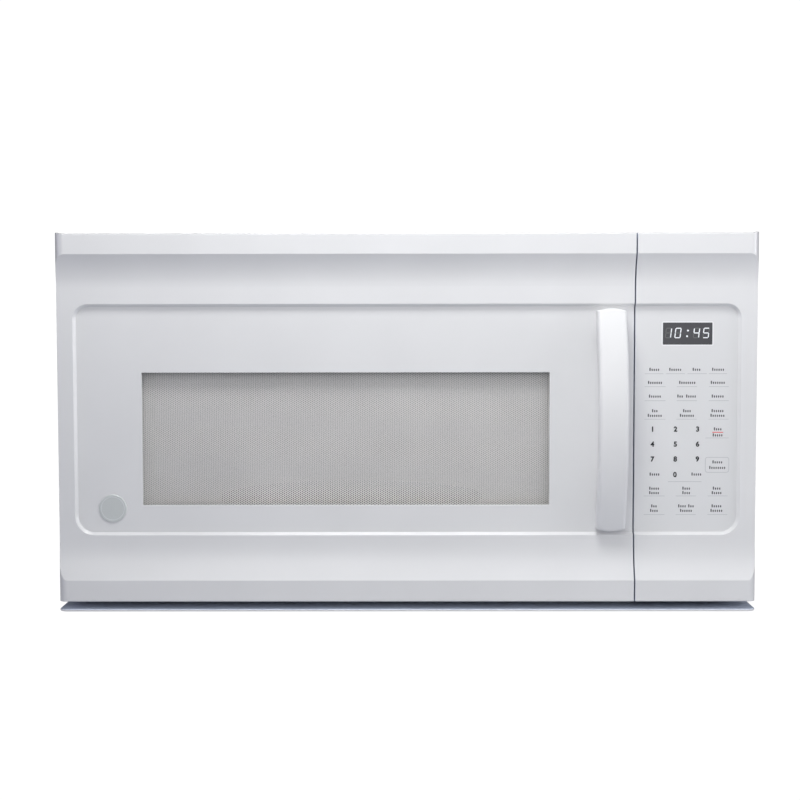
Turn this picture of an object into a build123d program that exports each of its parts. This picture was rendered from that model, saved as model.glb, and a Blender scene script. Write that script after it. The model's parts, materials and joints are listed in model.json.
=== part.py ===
"""Over-the-range microwave with a vent hood, as an assembly of separate pieces.

Millimetres. X runs to the right as one faces the door, Y runs back to the wall, Z up.
The origin is the middle of the rear panel's outer face, which hangs on the wall.
"""
import os
from math import cos, radians, sin

from build123d import *

os.makedirs("parts", exist_ok=True)

# ------------------------------------------------------------------ overall sizes
WIDTH = 758.8            # across the front mouldings
HEIGHT = 414.3           # underside of the pan to the top of the front's end ribs
DEPTH = 386.0            # wall to the front lips, without the handle

# ------------------------------------------------------------------ front mouldings
PANEL_WIDTH = 131.4      # control panel, right of the door
DOOR_GAP = 1.5           # between door and control panel
MOULDING_DEPTH = 44.0    # front lip to the door's back edge
DOOR_SEAT_GAP = 2.0      # door's back edge to the face plate
WALL = 3.0               # moulded wall thickness
TOP_LIP = 22.3           # height of the flat lip along the top
UPPER_COVE = 34.7        # height of the upper cove's arc
UPPER_FRAME = 19.0       # flat band between upper cove and recessed field
LOWER_FRAME = 4.1        # flat band between recessed field and lower cove
LOWER_COVE = 44.0        # height of the lower cove's arc
BOTTOM_LIP = 23.2        # height of the flat lip along the bottom
FRAME_SETBACK = 10.6     # lips to the flat bands, front to back
FIELD_DROP = 4.4         # flat bands to the recessed field, front to back
FIELD_BEVEL = 2.8        # run of the bevel around the field
FIELD_CORNER = 16.0      # radius of the upper corners of the field's rim
LOWER_FIELD_CORNER = 21.0  # radius of the lower corners, which are rounder
SIDE_FRAME = 17.1        # band left and right of the field
LIP_EDGE = 1.2           # rounding of the lips' long edges
CORNER_RADIUS = 10.0     # vertical front corners, seen from above
END_RIB_WIDTH = 3.4      # small raised rib at each end of the top edge
END_RIB_HEIGHT = 1.0

# ------------------------------------------------------------------ door
WINDOW_LEFT = 90.8       # door's left edge to the window
WINDOW_RIGHT = 91.2      # window to the door's right edge
WINDOW_DROP = 150.4      # front top edge to the window
WINDOW_RISE = 103.9      # front bottom edge to the window
WINDOW_CORNER = 1.0
WINDOW_LAP = 9.0         # pane and screen reach past the opening by this much
PANE = 2.0
SCREEN_SETBACK = 10.0    # field to the screen, front to back
SCREEN_SHEET = 0.8
SCREEN_MARGIN = 22.0     # screen pan past the cavity's mouth
SCREEN_FLANGE = 8.0
INNER_PANE = 1.2
INNER_PANE_GAP = 0.3
CHOKE_COVER = 2.4
CHOKE_OPENING_MARGIN = 14.0
MOULDING_FIT = 0.4       # pieces let into a moulding clear it by this much
BADGE_RADIUS = 15.0
BADGE_THICKNESS = 1.2
BADGE_LEFT = 57.8        # door's left edge to the disc's centre
BADGE_RISE = 29.1        # field's bottom edge to the disc's centre

# ------------------------------------------------------------------ handle
HANDLE_WIDTH = 31.5
HANDLE_FROM_GAP = 25.3   # handle's centre to the door's right edge
HANDLE_TOP_MARGIN = 2.2  # field's inner edge to the handle, top and bottom
HANDLE_END_PROUD = 13.0
HANDLE_PROUD = 40.0
HANDLE_THICK = 12.5
HANDLE_FOOT = 21.0
HANDLE_CROWN = 3.2       # rise of the rounded ends, seen from the front
HANDLE_ROUND = 4.0
HANDLE_SCREW = 2.4
HANDLE_SCREW_HEAD = 5.0

# ------------------------------------------------------------------ hinges
HINGE_INSET = 12.0       # pivot to the door's left and back faces
HINGE_PIN = 4.0
HINGE_RUNNING = 0.05     # radial clearance of pin in door
HINGE_TONGUE = 2.5
HINGE_TONGUE_WIDTH = 13.0
HINGE_CLEARANCE = 1.0
UPPER_POCKET = 13.0      # depth of the notch that hides the upper hinge
UPPER_POCKET_REACH = 16.0
HINGE_PLATE_WIDTH = 26.0
HINGE_PLATE_HEIGHT = 34.0
HINGE_PLATE = 1.4

# ------------------------------------------------------------------ latch
LATCH_FROM_EDGE = 13.5   # latch bar's centre to the door's right edge
LATCH_WIDTH = 7.0
LATCH_BAR = 6.0
LATCH_LENGTH = 160.0
LATCH_REACH = 16.0       # hooks past the face plate
LATCH_HOOK_HEIGHT = 14.0
LATCH_TOOTH = 3.0
LATCH_TRAVEL = 4.0
LATCH_CLEARANCE = 1.6
LATCH_PITCH = 130.0      # between the hooks
LATCH_DROP = 19.0        # window centre to the middle of the hooks, downwards
SWITCH = (8.0, 16.0, 28.0)
SPRING_RADIUS = 2.6      # a plain sleeve stands for the wound spring
SPRING_LENGTH = 26.0

# ------------------------------------------------------------------ cabinet
SHEET = 0.8
SHEET_FIT = 0.2
CASE_INSET = 3.9         # case side inside the front moulding's side
CASE_DROP = 3.0          # case top below the front top edge
CASE_FOOT = 2.0          # case sides end above the pan's underside
PAN_DROP = 3.3           # pan floor below its front lip
PAN_LIP = 2.3
PAN_GAP = 8.5            # shadow gap between door and pan lip
PAN_FLANGE = 14.0
GRILLE_DEPTH = 66.0
GRILLE_HEIGHT = 7.0
GRILLE_PLATE = 2.2
GRILLE_END = 5.0
LOUVRE_PITCH = 13.0
LOUVRE_WIDTH = 3.6
LOUVRE_MARGIN = 8.0
CHARCOAL = (330.0, 64.0, 12.0)
EXHAUST = (254.0, 82.6)  # standard ducting opening
EXHAUST_FROM_WALL = 22.0
CABINET_BOLT = 3.3
CABINET_BOLT_SPACING = 508.0
CABINET_BOLT_FROM_WALL = 140.0
PLATE_SLOT = (38.0, 7.0)
PLATE_SLOT_SPACING = 460.0
PLATE_SLOT_RISE = 22.0
CORD_HOLE = 14.0
CORD_BORE = 8.0
CORD_FROM_SIDE = 50.0
CORD_FROM_WALL = 45.0
BUSHING_FLANGE = 17.0

# ------------------------------------------------------------------ oven cavity
CAVITY_FROM_CASE = 44.85     # case's left side to the cavity
CAVITY_FROM_PANEL = 50.65    # cavity to the control panel's left edge
CAVITY_OVER_PAN = 76.65      # base pan's floor to the cavity's floor
CAVITY_UNDER_CASE = 106.85   # cavity's roof to the top of the case, the blower's space
CAVITY_FROM_WALL = 18.0      # cavity's back to the wall
CAVITY_CORNER = 12.0
FACE_CLEARANCE = 0.5
FACE_RIGHT_LAP = 5.0     # face plate past the control panel's left edge
TRAY_RADIUS = 158.5
TRAY_THICK = 5.0
TRAY_RISE = 11.0
TRAY_FLAT = 128.0
ROLLER_RADIUS = 7.0
ROLLER_WIDTH = 6.0
ROLLER_TRACK = 107.0
AXLE_RADIUS = 2.0
AXLE_RUNNING = 0.05
RING_BAND = 5.0
RING_GAP = 1.2
AXLE_HEAD = 1.2
TRAY_LUG = 4.0
ROLLER_COUNT = 3
MOVING_GAP = 0.3         # between pieces that move past each other
FLOOR_HOLE = 9.0
COUPLER_RADIUS = 22.0
COUPLER_THICK = 6.0
COUPLER_HUB = 7.8
COUPLER_LIFT = 2.0
SHAFT_SOCKET = 10.0
SHAFT_RADIUS = 3.5
SHAFT_RUNNING = 0.05
DRIVE_MOTOR_RADIUS = 25.0
DRIVE_MOTOR_HEIGHT = 15.0

# ------------------------------------------------------------------ microwave source
GUIDE = (39.7, 90.0, 100.0)
GUIDE_FROM_FACE = 125.0
GUIDE_DROP = 16.0        # cavity ceiling to the guide's top
PORT_MARGIN = 10.0
MICA = 0.5
MAGNETRON = (64.0, 92.0, 78.0)
YOKE = 1.6
FIN_COUNT = 9
FIN = 0.8
ANODE_RADIUS = 21.0
ANTENNA_RADIUS = 9.0
ANTENNA_LENGTH = 26.0
TRANSFORMER = (92.0, 66.0, 78.0)
CORE_LIMB = 16.0
COIL_PROUD = 13.0
CAPACITOR = (52.0, 34.0, 82.0)
FAN_RADIUS = 52.0
FAN_HUB = 14.0
FAN_BLADES = 5
FAN_PITCH = 28.0
FAN_MOTOR = (44.0, 26.0, 44.0)
FAN_SHAFT = 2.5
FAN_RUNNING = 0.05
FAN_BLADE_WIDTH = 26.0
FAN_STAND_OFF = 5.0
FAN_HUB_DEPTH = 9.0
FAN_FROM_WALL = 46.0
FILTER_BOARD = (80.0, 60.0)

# ------------------------------------------------------------------ vent blower
WHEEL_RADIUS = 38.0
WHEEL_WIDTH = 58.0
WHEEL_BLADES = 32
BLADE_DEPTH = 8.0
BLADE_SHEET = 0.7
BLADE_ANGLE = 30.0
WHEEL_PLATE = 1.2
WHEEL_HUB = 7.0
BLOWER_SHAFT = 4.0
BLOWER_RUNNING = 0.05
BLOWER_MOTOR_RADIUS = 36.0
BLOWER_MOTOR_LENGTH = 70.0
SCROLL_RADIUS = 46.5
SCROLL_WALL = 1.6
SCROLL_SIDE_GAP = 3.0
SCROLL_OUTLET = 38.0
SCROLL_THROAT = 80.0
INLET_RADIUS = 29.0
SADDLE = 30.0
BLOWER_FROM_WALL = 76.0

# ------------------------------------------------------------------ underside
FILTER = (190.0, 130.0, 9.0)
FILTER_FIT = 0.6
FILTER_FROM_SIDE = 115.5     # case's side to the filter
FILTER_FROM_WALL = 150.0
FILTER_FRAME = 9.0
FILTER_MESH = 3.0
LAMP_COVER = (120.0, 76.0, 3.0)
LAMP_COVER_FIT = 0.8
LAMP_FROM_FACE = 80.0
LAMP_RADIUS = 11.0
LAMP_SPACING = 56.0
LAMP_HINGE = 1.6
LAMP_HINGE_RUNNING = 0.05
LAMP_HOUSING = 46.0

# ------------------------------------------------------------------ control panel
DISPLAY_WIDTH = 53.7
DISPLAY_HEIGHT = 23.9
DISPLAY_LEFT = 29.9      # control panel's left edge to the display
DISPLAY_DROP = 96.6      # front top edge to the display
DISPLAY_LENS = 2.0
OVERLAY = 0.4
OVERLAY_MARGIN = 1.0
BOARD = 1.6
CONTROL_BOARD = (104.0, 150.0)
CONTROL_BOARD_FROM_FACE = 8.0

# ------------------------------------------------------------------ places worked out from these
TOP = HEIGHT / 2
BOTTOM = -HEIGHT / 2
SIDE = WIDTH / 2
Y_LIP = -DEPTH
Y_FRAME = Y_LIP + FRAME_SETBACK
Y_FIELD = Y_FRAME + FIELD_DROP
Y_BACK = Y_LIP + MOULDING_DEPTH
Y_FACE = Y_BACK + DOOR_SEAT_GAP
FRONT_TOP = TOP - END_RIB_HEIGHT
LIP_PLATE_BOTTOM = BOTTOM + PAN_DROP
LIP_PLATE_TOP = LIP_PLATE_BOTTOM + PAN_LIP
FRONT_BOTTOM = LIP_PLATE_TOP + PAN_GAP
Z_TOP_LIP = FRONT_TOP - TOP_LIP
Z_UPPER_COVE = Z_TOP_LIP - UPPER_COVE
Z_BOTTOM_LIP = FRONT_BOTTOM + BOTTOM_LIP
Z_LOWER_COVE = Z_BOTTOM_LIP + LOWER_COVE
FIELD_TOP = Z_UPPER_COVE - UPPER_FRAME
FIELD_BOTTOM = Z_LOWER_COVE + LOWER_FRAME
FIELD_MIDDLE = (FIELD_TOP + FIELD_BOTTOM) / 2
FIELD_HEIGHT = FIELD_TOP - FIELD_BOTTOM
FIELD_WIDTH = WIDTH - 2 * SIDE_FRAME
PANEL_LEFT = SIDE - PANEL_WIDTH
DOOR_RIGHT = PANEL_LEFT - DOOR_GAP
DOOR_LEFT = -SIDE
window_x = (DOOR_LEFT + WINDOW_LEFT, DOOR_RIGHT - WINDOW_RIGHT)
window_z = (FRONT_BOTTOM + WINDOW_RISE, FRONT_TOP - WINDOW_DROP)
CASE_HALF = SIDE - CASE_INSET
CASE_TOP = FRONT_TOP - CASE_DROP
INSIDE = CASE_HALF - SHEET - SHEET_FIT
PAN_FLOOR = BOTTOM + SHEET
GRILLE_BOTTOM = CASE_TOP - GRILLE_HEIGHT
Y_GRILLE = Y_FACE + GRILLE_DEPTH
FACE_BOTTOM = LIP_PLATE_TOP + FACE_CLEARANCE
FACE_RIGHT = PANEL_LEFT + FACE_RIGHT_LAP
CAVITY_LEFT = -CASE_HALF + CAVITY_FROM_CASE
CAVITY_RIGHT = PANEL_LEFT - CAVITY_FROM_PANEL
CAVITY_FLOOR = PAN_FLOOR + CAVITY_OVER_PAN
CAVITY_TOP = CASE_TOP - CAVITY_UNDER_CASE
CAVITY_BACK = -CAVITY_FROM_WALL
TABLE_X = (CAVITY_LEFT + CAVITY_RIGHT) / 2
TABLE_Y = (Y_FACE + CAVITY_BACK) / 2
CAVITY_MIDDLE = (CAVITY_FLOOR + CAVITY_TOP) / 2
HINGE_X = DOOR_LEFT + HINGE_INSET
HINGE_Y = Y_BACK - HINGE_INSET
HANDLE_X = DOOR_RIGHT - HANDLE_FROM_GAP
LATCH_X = DOOR_RIGHT - LATCH_FROM_EDGE
LATCH_Z = CAVITY_MIDDLE - LATCH_DROP
Y_COVER = Y_BACK - CHOKE_COVER - MOULDING_FIT
Y_SCREEN = Y_FIELD + SCREEN_SETBACK


# ------------------------------------------------------------------ shared helpers
def slab(x, y, z, mode=Mode.ADD):
    """Straight block between two ends along each axis."""
    with Locations(((x[0] + x[1]) / 2, (y[0] + y[1]) / 2, (z[0] + z[1]) / 2)):
        Box(x[1] - x[0], y[1] - y[0], z[1] - z[0], mode=mode)


def rod_x(x, y, z, radius, mode=Mode.ADD):
    """Round bar along X between two ends."""
    with Locations(((x[0] + x[1]) / 2, y, z)):
        Cylinder(radius, x[1] - x[0], rotation=(0, 90, 0), mode=mode)


def rod_y(x, y, z, radius, mode=Mode.ADD):
    """Round bar along Y between two ends."""
    with Locations((x, (y[0] + y[1]) / 2, z)):
        Cylinder(radius, y[1] - y[0], rotation=(90, 0, 0), mode=mode)


def rod_z(x, y, z, radius, mode=Mode.ADD):
    """Round bar along Z between two ends."""
    with Locations((x, y, (z[0] + z[1]) / 2)):
        Cylinder(radius, z[1] - z[0], mode=mode)


# ------------------------------------------------------------------ front mouldings
def side_profile(x, inset=0.0):
    """Front moulding in side view: both lips, both coves and the flat band between them.

    With an inset it is the hollow behind those walls, which runs out through the back.
    """
    with BuildSketch(Plane.YZ.offset(x)) as profile:
        with BuildLine():
            Polyline((Y_FRAME, Z_LOWER_COVE), (Y_FRAME, Z_UPPER_COVE))
            TangentArc((Y_FRAME, Z_UPPER_COVE), (Y_LIP, Z_TOP_LIP), tangent=(0, 1))
            Polyline(
                (Y_LIP, Z_TOP_LIP),
                (Y_LIP, FRONT_TOP),
                (Y_BACK, FRONT_TOP),
                (Y_BACK, FRONT_BOTTOM),
                (Y_LIP, FRONT_BOTTOM),
                (Y_LIP, Z_BOTTOM_LIP),
            )
            TangentArc((Y_FRAME, Z_LOWER_COVE), (Y_LIP, Z_BOTTOM_LIP), tangent=(0, -1))
        make_face()
        fillet(profile.vertices().group_by(Axis.X)[0], LIP_EDGE)
        if inset:
            offset(amount=-inset, kind=Kind.INTERSECTION, mode=Mode.REPLACE)
            with Locations((Y_BACK, (FRONT_TOP + FRONT_BOTTOM) / 2)):
                Rectangle(4 * inset, FRONT_TOP - FRONT_BOTTOM - 2 * inset)
    return profile.sketch


def plan_outline(x_left, x_right, left_radii, right_radii, inset=0.0):
    """Front moulding seen from above; radii are (front, back).

    With an inset it is the hollow behind the walls, which runs out through the back.
    """
    with BuildSketch(Plane.XY.offset(FRONT_BOTTOM)) as plan:
        with Locations(((x_left + x_right) / 2, (Y_LIP + Y_BACK) / 2)):
            Rectangle(x_right - x_left - 2 * inset, MOULDING_DEPTH - 2 * inset)
        # front row left and right, then back row left and right
        rows = ((0, left_radii[0], right_radii[0]), (-1, left_radii[1], right_radii[1]))
        for row, left_radius, right_radius in rows:
            if left_radius > inset:
                fillet(plan.vertices().group_by(Axis.Y)[row].sort_by(Axis.X)[0], left_radius - inset)
            if right_radius > inset:
                fillet(plan.vertices().group_by(Axis.Y)[row].sort_by(Axis.X)[-1], right_radius - inset)
        if inset:
            mouth_left = x_left + max(inset, left_radii[1])
            mouth_right = x_right - max(inset, right_radii[1])
            with Locations(((mouth_left + mouth_right) / 2, Y_BACK)):
                Rectangle(mouth_right - mouth_left, 4 * inset)
    return plan.sketch


def field_outline(y, inset):
    """Rim of the recessed field at depth y, which door and control panel share."""
    with BuildSketch(Plane.XZ.offset(-y)) as outline:
        with Locations((0, FIELD_MIDDLE)):
            Rectangle(FIELD_WIDTH - 2 * inset, FIELD_HEIGHT - 2 * inset)
        fillet(outline.vertices().group_by(Axis.Y)[-1], FIELD_CORNER - inset)
        fillet(outline.vertices().group_by(Axis.Y)[0], LOWER_FIELD_CORNER - inset)
    return outline.sketch


def moulding_block(x_left, x_right, left_radii, right_radii):
    """Solid front between two ends, with the bevelled field sunk into it."""
    with BuildPart() as block:
        extrude(side_profile(x_left), amount=x_right - x_left)
        plan = plan_outline(x_left, x_right, left_radii, right_radii)
        extrude(plan, amount=FRONT_TOP - FRONT_BOTTOM, mode=Mode.INTERSECT)
        loft([field_outline(Y_FRAME, 0), field_outline(Y_FIELD, FIELD_BEVEL)], mode=Mode.SUBTRACT)
    return block.part


def moulding_hollow(x_left, x_right, left_radii, right_radii):
    """Space inside a front moulding, open at the back, clear of the field's floor."""
    with BuildPart() as hollow:
        extrude(side_profile(x_left, WALL), amount=x_right - x_left)
        plan = plan_outline(x_left, x_right, left_radii, right_radii, WALL)
        extrude(plan, amount=FRONT_TOP - FRONT_BOTTOM, mode=Mode.INTERSECT)
        extrude(field_outline(Y_LIP, -WALL), amount=-(Y_FIELD + WALL - Y_LIP), mode=Mode.SUBTRACT)
    return hollow.part


def moulding_corner(x_left, x_right, left_radii, right_radii, x, y, z):
    """Block between the ends given for each axis, trimmed to the moulding seen from above."""
    with BuildPart() as corner:
        plan = plan_outline(x_left, x_right, left_radii, right_radii)
        extrude(plan, amount=TOP - FRONT_BOTTOM)
        slab(x, y, z, mode=Mode.INTERSECT)
    return corner.part


HANDLE_TOP = FIELD_TOP - FIELD_BEVEL - HANDLE_TOP_MARGIN
HANDLE_BOTTOM = FIELD_BOTTOM + FIELD_BEVEL + HANDLE_TOP_MARGIN
handle_screw_levels = (HANDLE_TOP - HANDLE_FOOT / 2, HANDLE_BOTTOM + HANDLE_FOOT / 2)
latch_y = (Y_COVER - WALL - LATCH_BAR, Y_COVER - WALL)
latch_z = (LATCH_Z - LATCH_LENGTH / 2, LATCH_Z + LATCH_LENGTH / 2)
spring_z = (latch_z[1], latch_z[1] + SPRING_LENGTH)
door_left_radii = (CORNER_RADIUS, HINGE_INSET)
door_right_radii = (0, 0)
panel_left_radii = (0, 0)
panel_right_radii = (CORNER_RADIUS, 0)

POCKET_FLOOR = FRONT_TOP - UPPER_POCKET
pocket_x = (DOOR_LEFT, HINGE_X + UPPER_POCKET_REACH)
pocket_y = (HINGE_Y - HINGE_INSET, Y_BACK)

with BuildPart() as door_frame:
    add(moulding_block(DOOR_LEFT, DOOR_RIGHT, door_left_radii, door_right_radii))
    add(
        moulding_hollow(DOOR_LEFT, DOOR_RIGHT, door_left_radii, door_right_radii),
        mode=Mode.SUBTRACT,
    )
    add(
        moulding_corner(
            DOOR_LEFT,
            DOOR_RIGHT,
            door_left_radii,
            door_right_radii,
            (DOOR_LEFT, DOOR_LEFT + END_RIB_WIDTH),
            (Y_LIP, Y_BACK),
            (FRONT_TOP, TOP),
        )
    )
    # window opening
    with BuildSketch(Plane.XZ.offset(-Y_FIELD)):
        with Locations(((window_x[0] + window_x[1]) / 2, (window_z[0] + window_z[1]) / 2)):
            RectangleRounded(window_x[1] - window_x[0], window_z[1] - window_z[0], WINDOW_CORNER)
    extrude(amount=-2 * WALL, mode=Mode.SUBTRACT)
    # walled notch in the top corner for the upper hinge
    add(
        moulding_corner(
            DOOR_LEFT,
            DOOR_RIGHT,
            door_left_radii,
            door_right_radii,
            (pocket_x[0], pocket_x[1] + WALL),
            (pocket_y[0] - WALL, pocket_y[1]),
            (POCKET_FLOOR - WALL, FRONT_TOP),
        )
    )
    slab(
        (pocket_x[0] - WALL, pocket_x[1]),
        (pocket_y[0], pocket_y[1] + WALL),
        (POCKET_FLOOR, TOP + WALL),
        mode=Mode.SUBTRACT,
    )
    # bosses that carry the hinge pins
    for boss in ((POCKET_FLOOR - 4 * WALL, POCKET_FLOOR), (FRONT_BOTTOM, FRONT_BOTTOM + 4 * WALL)):
        rod_z(HINGE_X, HINGE_Y, boss, HINGE_INSET - WALL)
        rod_z(HINGE_X, HINGE_Y, boss, HINGE_PIN + HINGE_RUNNING, mode=Mode.SUBTRACT)
    # screw holes for the handle
    for z_screw in handle_screw_levels:
        rod_y(HANDLE_X, (Y_FIELD, Y_FIELD + WALL), z_screw, HANDLE_SCREW, mode=Mode.SUBTRACT)
    # guide beside the latch bar, and the shelf that its spring pushes against
    guide_side = (LATCH_X + LATCH_WIDTH / 2 + MOULDING_FIT, DOOR_RIGHT - WALL)
    slab(guide_side, latch_y, (LATCH_Z - 4 * WALL, LATCH_Z + 4 * WALL))
    slab((LATCH_X - LATCH_WIDTH / 2, DOOR_RIGHT - WALL), latch_y, (spring_z[1], spring_z[1] + WALL))
door_frame.part.label = "door_frame"
export_step(door_frame.part, "parts/door_frame.step")

with BuildPart() as window_pane:
    with BuildSketch(Plane.XZ.offset(-(Y_FIELD + WALL))):
        with Locations(((window_x[0] + window_x[1]) / 2, (window_z[0] + window_z[1]) / 2)):
            RectangleRounded(
                window_x[1] - window_x[0] + 2 * WINDOW_LAP,
                window_z[1] - window_z[0] + 2 * WINDOW_LAP,
                WINDOW_LAP,
            )
    extrude(amount=-PANE)
window_pane.part.label = "window_pane"
export_step(window_pane.part, "parts/window_pane.step")

# The screen is a shallow pan: its floor is the perforated sheet, its turned rim the choke.
pan_x = (CAVITY_LEFT - SCREEN_MARGIN, CAVITY_RIGHT + SCREEN_MARGIN)
pan_z = (CAVITY_FLOOR - SCREEN_MARGIN, CAVITY_TOP + SCREEN_MARGIN)
with BuildPart() as door_screen:
    slab(pan_x, (Y_SCREEN, Y_COVER), pan_z)
    fillet(door_screen.edges().filter_by(Axis.Y), CAVITY_CORNER)
    fillet(door_screen.faces().sort_by(Axis.Y)[0].edges(), 2 * SCREEN_SHEET)
    offset(amount=-SCREEN_SHEET, openings=door_screen.faces().sort_by(Axis.Y)[-1])
    with BuildSketch(Plane.XZ.offset(-Y_COVER)):
        with Locations((TABLE_X, CAVITY_MIDDLE)):
            RectangleRounded(
                pan_x[1] - pan_x[0] + 2 * SCREEN_FLANGE,
                pan_z[1] - pan_z[0] + 2 * SCREEN_FLANGE,
                CAVITY_CORNER + SCREEN_FLANGE,
            )
            RectangleRounded(
                pan_x[1] - pan_x[0] - 2 * SCREEN_SHEET,
                pan_z[1] - pan_z[0] - 2 * SCREEN_SHEET,
                CAVITY_CORNER - SCREEN_SHEET,
                mode=Mode.SUBTRACT,
            )
    extrude(amount=SCREEN_SHEET)
door_screen.part.label = "door_screen"
export_step(door_screen.part, "parts/door_screen.step")

inner_x = (CAVITY_LEFT + CHOKE_OPENING_MARGIN, CAVITY_RIGHT - CHOKE_OPENING_MARGIN)
inner_z = (CAVITY_FLOOR + CHOKE_OPENING_MARGIN, CAVITY_TOP - CHOKE_OPENING_MARGIN)
with BuildPart() as inner_pane:
    pane_y = (Y_SCREEN + SCREEN_SHEET, Y_SCREEN + SCREEN_SHEET + INNER_PANE)
    slab(inner_x, pane_y, inner_z)
    fillet(inner_pane.edges().filter_by(Axis.Y), CAVITY_CORNER)
inner_pane.part.label = "inner_pane"
export_step(inner_pane.part, "parts/inner_pane.step")

# The choke cover closes the door's back, with a sloped funnel down to the inner pane.
cover_x = (HINGE_X + MOULDING_FIT, DOOR_RIGHT - WALL - MOULDING_FIT)
cover_z = (FRONT_BOTTOM + WALL + MOULDING_FIT, FRONT_TOP - WALL - MOULDING_FIT)
hook_levels = (LATCH_Z + LATCH_PITCH / 2, LATCH_Z - LATCH_PITCH / 2)
hook_slot_x = (LATCH_X - LATCH_WIDTH / 2 - LATCH_CLEARANCE, LATCH_X + LATCH_WIDTH / 2 + LATCH_CLEARANCE)


def hook_slot_z(level):
    """Height that a latch hook needs at rest and lifted, tooth included."""
    low = level - LATCH_HOOK_HEIGHT / 2 - LATCH_TOOTH - LATCH_CLEARANCE
    return (low, level + LATCH_HOOK_HEIGHT / 2 + LATCH_TRAVEL + LATCH_CLEARANCE)


def opening_outline(y, grow):
    """Rounded outline of the door's inner window at depth y."""
    with BuildSketch(Plane.XZ.offset(-y)) as outline:
        with Locations((TABLE_X, CAVITY_MIDDLE)):
            RectangleRounded(
                inner_x[1] - inner_x[0] + 2 * grow, inner_z[1] - inner_z[0] + 2 * grow, CAVITY_CORNER + grow
            )
    return outline.sketch


Y_FUNNEL = Y_SCREEN + SCREEN_SHEET + INNER_PANE
with BuildPart() as choke_cover:
    slab(cover_x, (Y_COVER, Y_COVER + CHOKE_COVER), cover_z)
    loft([opening_outline(Y_FUNNEL, -CHOKE_COVER), opening_outline(Y_COVER, CHOKE_COVER)])
    loft(
        [opening_outline(Y_FUNNEL, -2 * CHOKE_COVER), opening_outline(Y_COVER + CHOKE_COVER, CHOKE_COVER)],
        mode=Mode.SUBTRACT,
    )
    slab(
        (DOOR_LEFT, pocket_x[1] + WALL + MOULDING_FIT),
        (Y_FRAME, Y_FACE),
        (POCKET_FLOOR - WALL - MOULDING_FIT, TOP),
        mode=Mode.SUBTRACT,
    )
    slab(
        (HINGE_X - HINGE_INSET, HINGE_X + HINGE_INSET - WALL + MOULDING_FIT),
        (Y_FRAME, Y_FACE),
        (FRONT_BOTTOM, FRONT_BOTTOM + 4 * WALL + MOULDING_FIT),
        mode=Mode.SUBTRACT,
    )
    slab(
        (HINGE_X - HINGE_INSET, HINGE_X + HINGE_INSET - WALL + MOULDING_FIT),
        (Y_FRAME, Y_FACE),
        (POCKET_FLOOR - 4 * WALL - MOULDING_FIT, TOP),
        mode=Mode.SUBTRACT,
    )
    for level in hook_levels:
        slab(hook_slot_x, (Y_COVER - WALL, Y_FACE), hook_slot_z(level), mode=Mode.SUBTRACT)
choke_cover.part.label = "choke_cover"
export_step(choke_cover.part, "parts/choke_cover.step")

with BuildPart() as door_handle:
    handle_middle = (HANDLE_TOP + HANDLE_BOTTOM) / 2
    with BuildSketch(Plane.YZ.offset(HANDLE_X - HANDLE_WIDTH / 2)) as bow:
        with BuildLine():
            Polyline((Y_FIELD - HANDLE_END_PROUD, HANDLE_TOP), (Y_FIELD, HANDLE_TOP))
            Line((Y_FIELD, HANDLE_TOP), (Y_FIELD, HANDLE_TOP - HANDLE_FOOT))
            ThreePointArc(
                (Y_FIELD, HANDLE_TOP - HANDLE_FOOT),
                (Y_FIELD - HANDLE_PROUD + HANDLE_THICK, handle_middle),
                (Y_FIELD, HANDLE_BOTTOM + HANDLE_FOOT),
            )
            Polyline((Y_FIELD, HANDLE_BOTTOM + HANDLE_FOOT), (Y_FIELD, HANDLE_BOTTOM))
            Line((Y_FIELD, HANDLE_BOTTOM), (Y_FIELD - HANDLE_END_PROUD, HANDLE_BOTTOM))
            ThreePointArc(
                (Y_FIELD - HANDLE_END_PROUD, HANDLE_BOTTOM),
                (Y_FIELD - HANDLE_PROUD, handle_middle),
                (Y_FIELD - HANDLE_END_PROUD, HANDLE_TOP),
            )
        make_face()
    extrude(amount=HANDLE_WIDTH)
    with BuildSketch(Plane.XZ.offset(-Y_FIELD)) as front:
        with BuildLine():
            half = HANDLE_WIDTH / 2
            crown_top = HANDLE_TOP - HANDLE_CROWN
            crown_bottom = HANDLE_BOTTOM + HANDLE_CROWN
            Line((HANDLE_X - half, crown_bottom), (HANDLE_X - half, crown_top))
            ThreePointArc(
                (HANDLE_X - half, crown_top),
                (HANDLE_X, HANDLE_TOP),
                (HANDLE_X + half, crown_top),
            )
            Line((HANDLE_X + half, crown_top), (HANDLE_X + half, crown_bottom))
            ThreePointArc(
                (HANDLE_X + half, crown_bottom),
                (HANDLE_X, HANDLE_BOTTOM),
                (HANDLE_X - half, crown_bottom),
            )
        make_face()
    extrude(amount=HANDLE_PROUD, mode=Mode.INTERSECT)
    outer_edges = door_handle.faces().filter_by(GeomType.CYLINDER).sort_by(Axis.Y)[0].edges()
    fillet(outer_edges, HANDLE_ROUND)
    for z_screw in handle_screw_levels:
        rod_y(HANDLE_X, (Y_FIELD - HANDLE_END_PROUD / 2, Y_FIELD), z_screw, HANDLE_SCREW, mode=Mode.SUBTRACT)
door_handle.part.label = "door_handle"
export_step(door_handle.part, "parts/door_handle.step")

with BuildPart() as handle_screws:
    for z_screw in handle_screw_levels:
        rod_y(HANDLE_X, (Y_FIELD - HANDLE_END_PROUD / 2, Y_FIELD + WALL), z_screw, HANDLE_SCREW)
        rod_y(HANDLE_X, (Y_FIELD + WALL, Y_FIELD + 2 * WALL), z_screw, HANDLE_SCREW_HEAD)
handle_screws.part.label = "handle_screws"
export_step(handle_screws.part, "parts/handle_screws.step")

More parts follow.
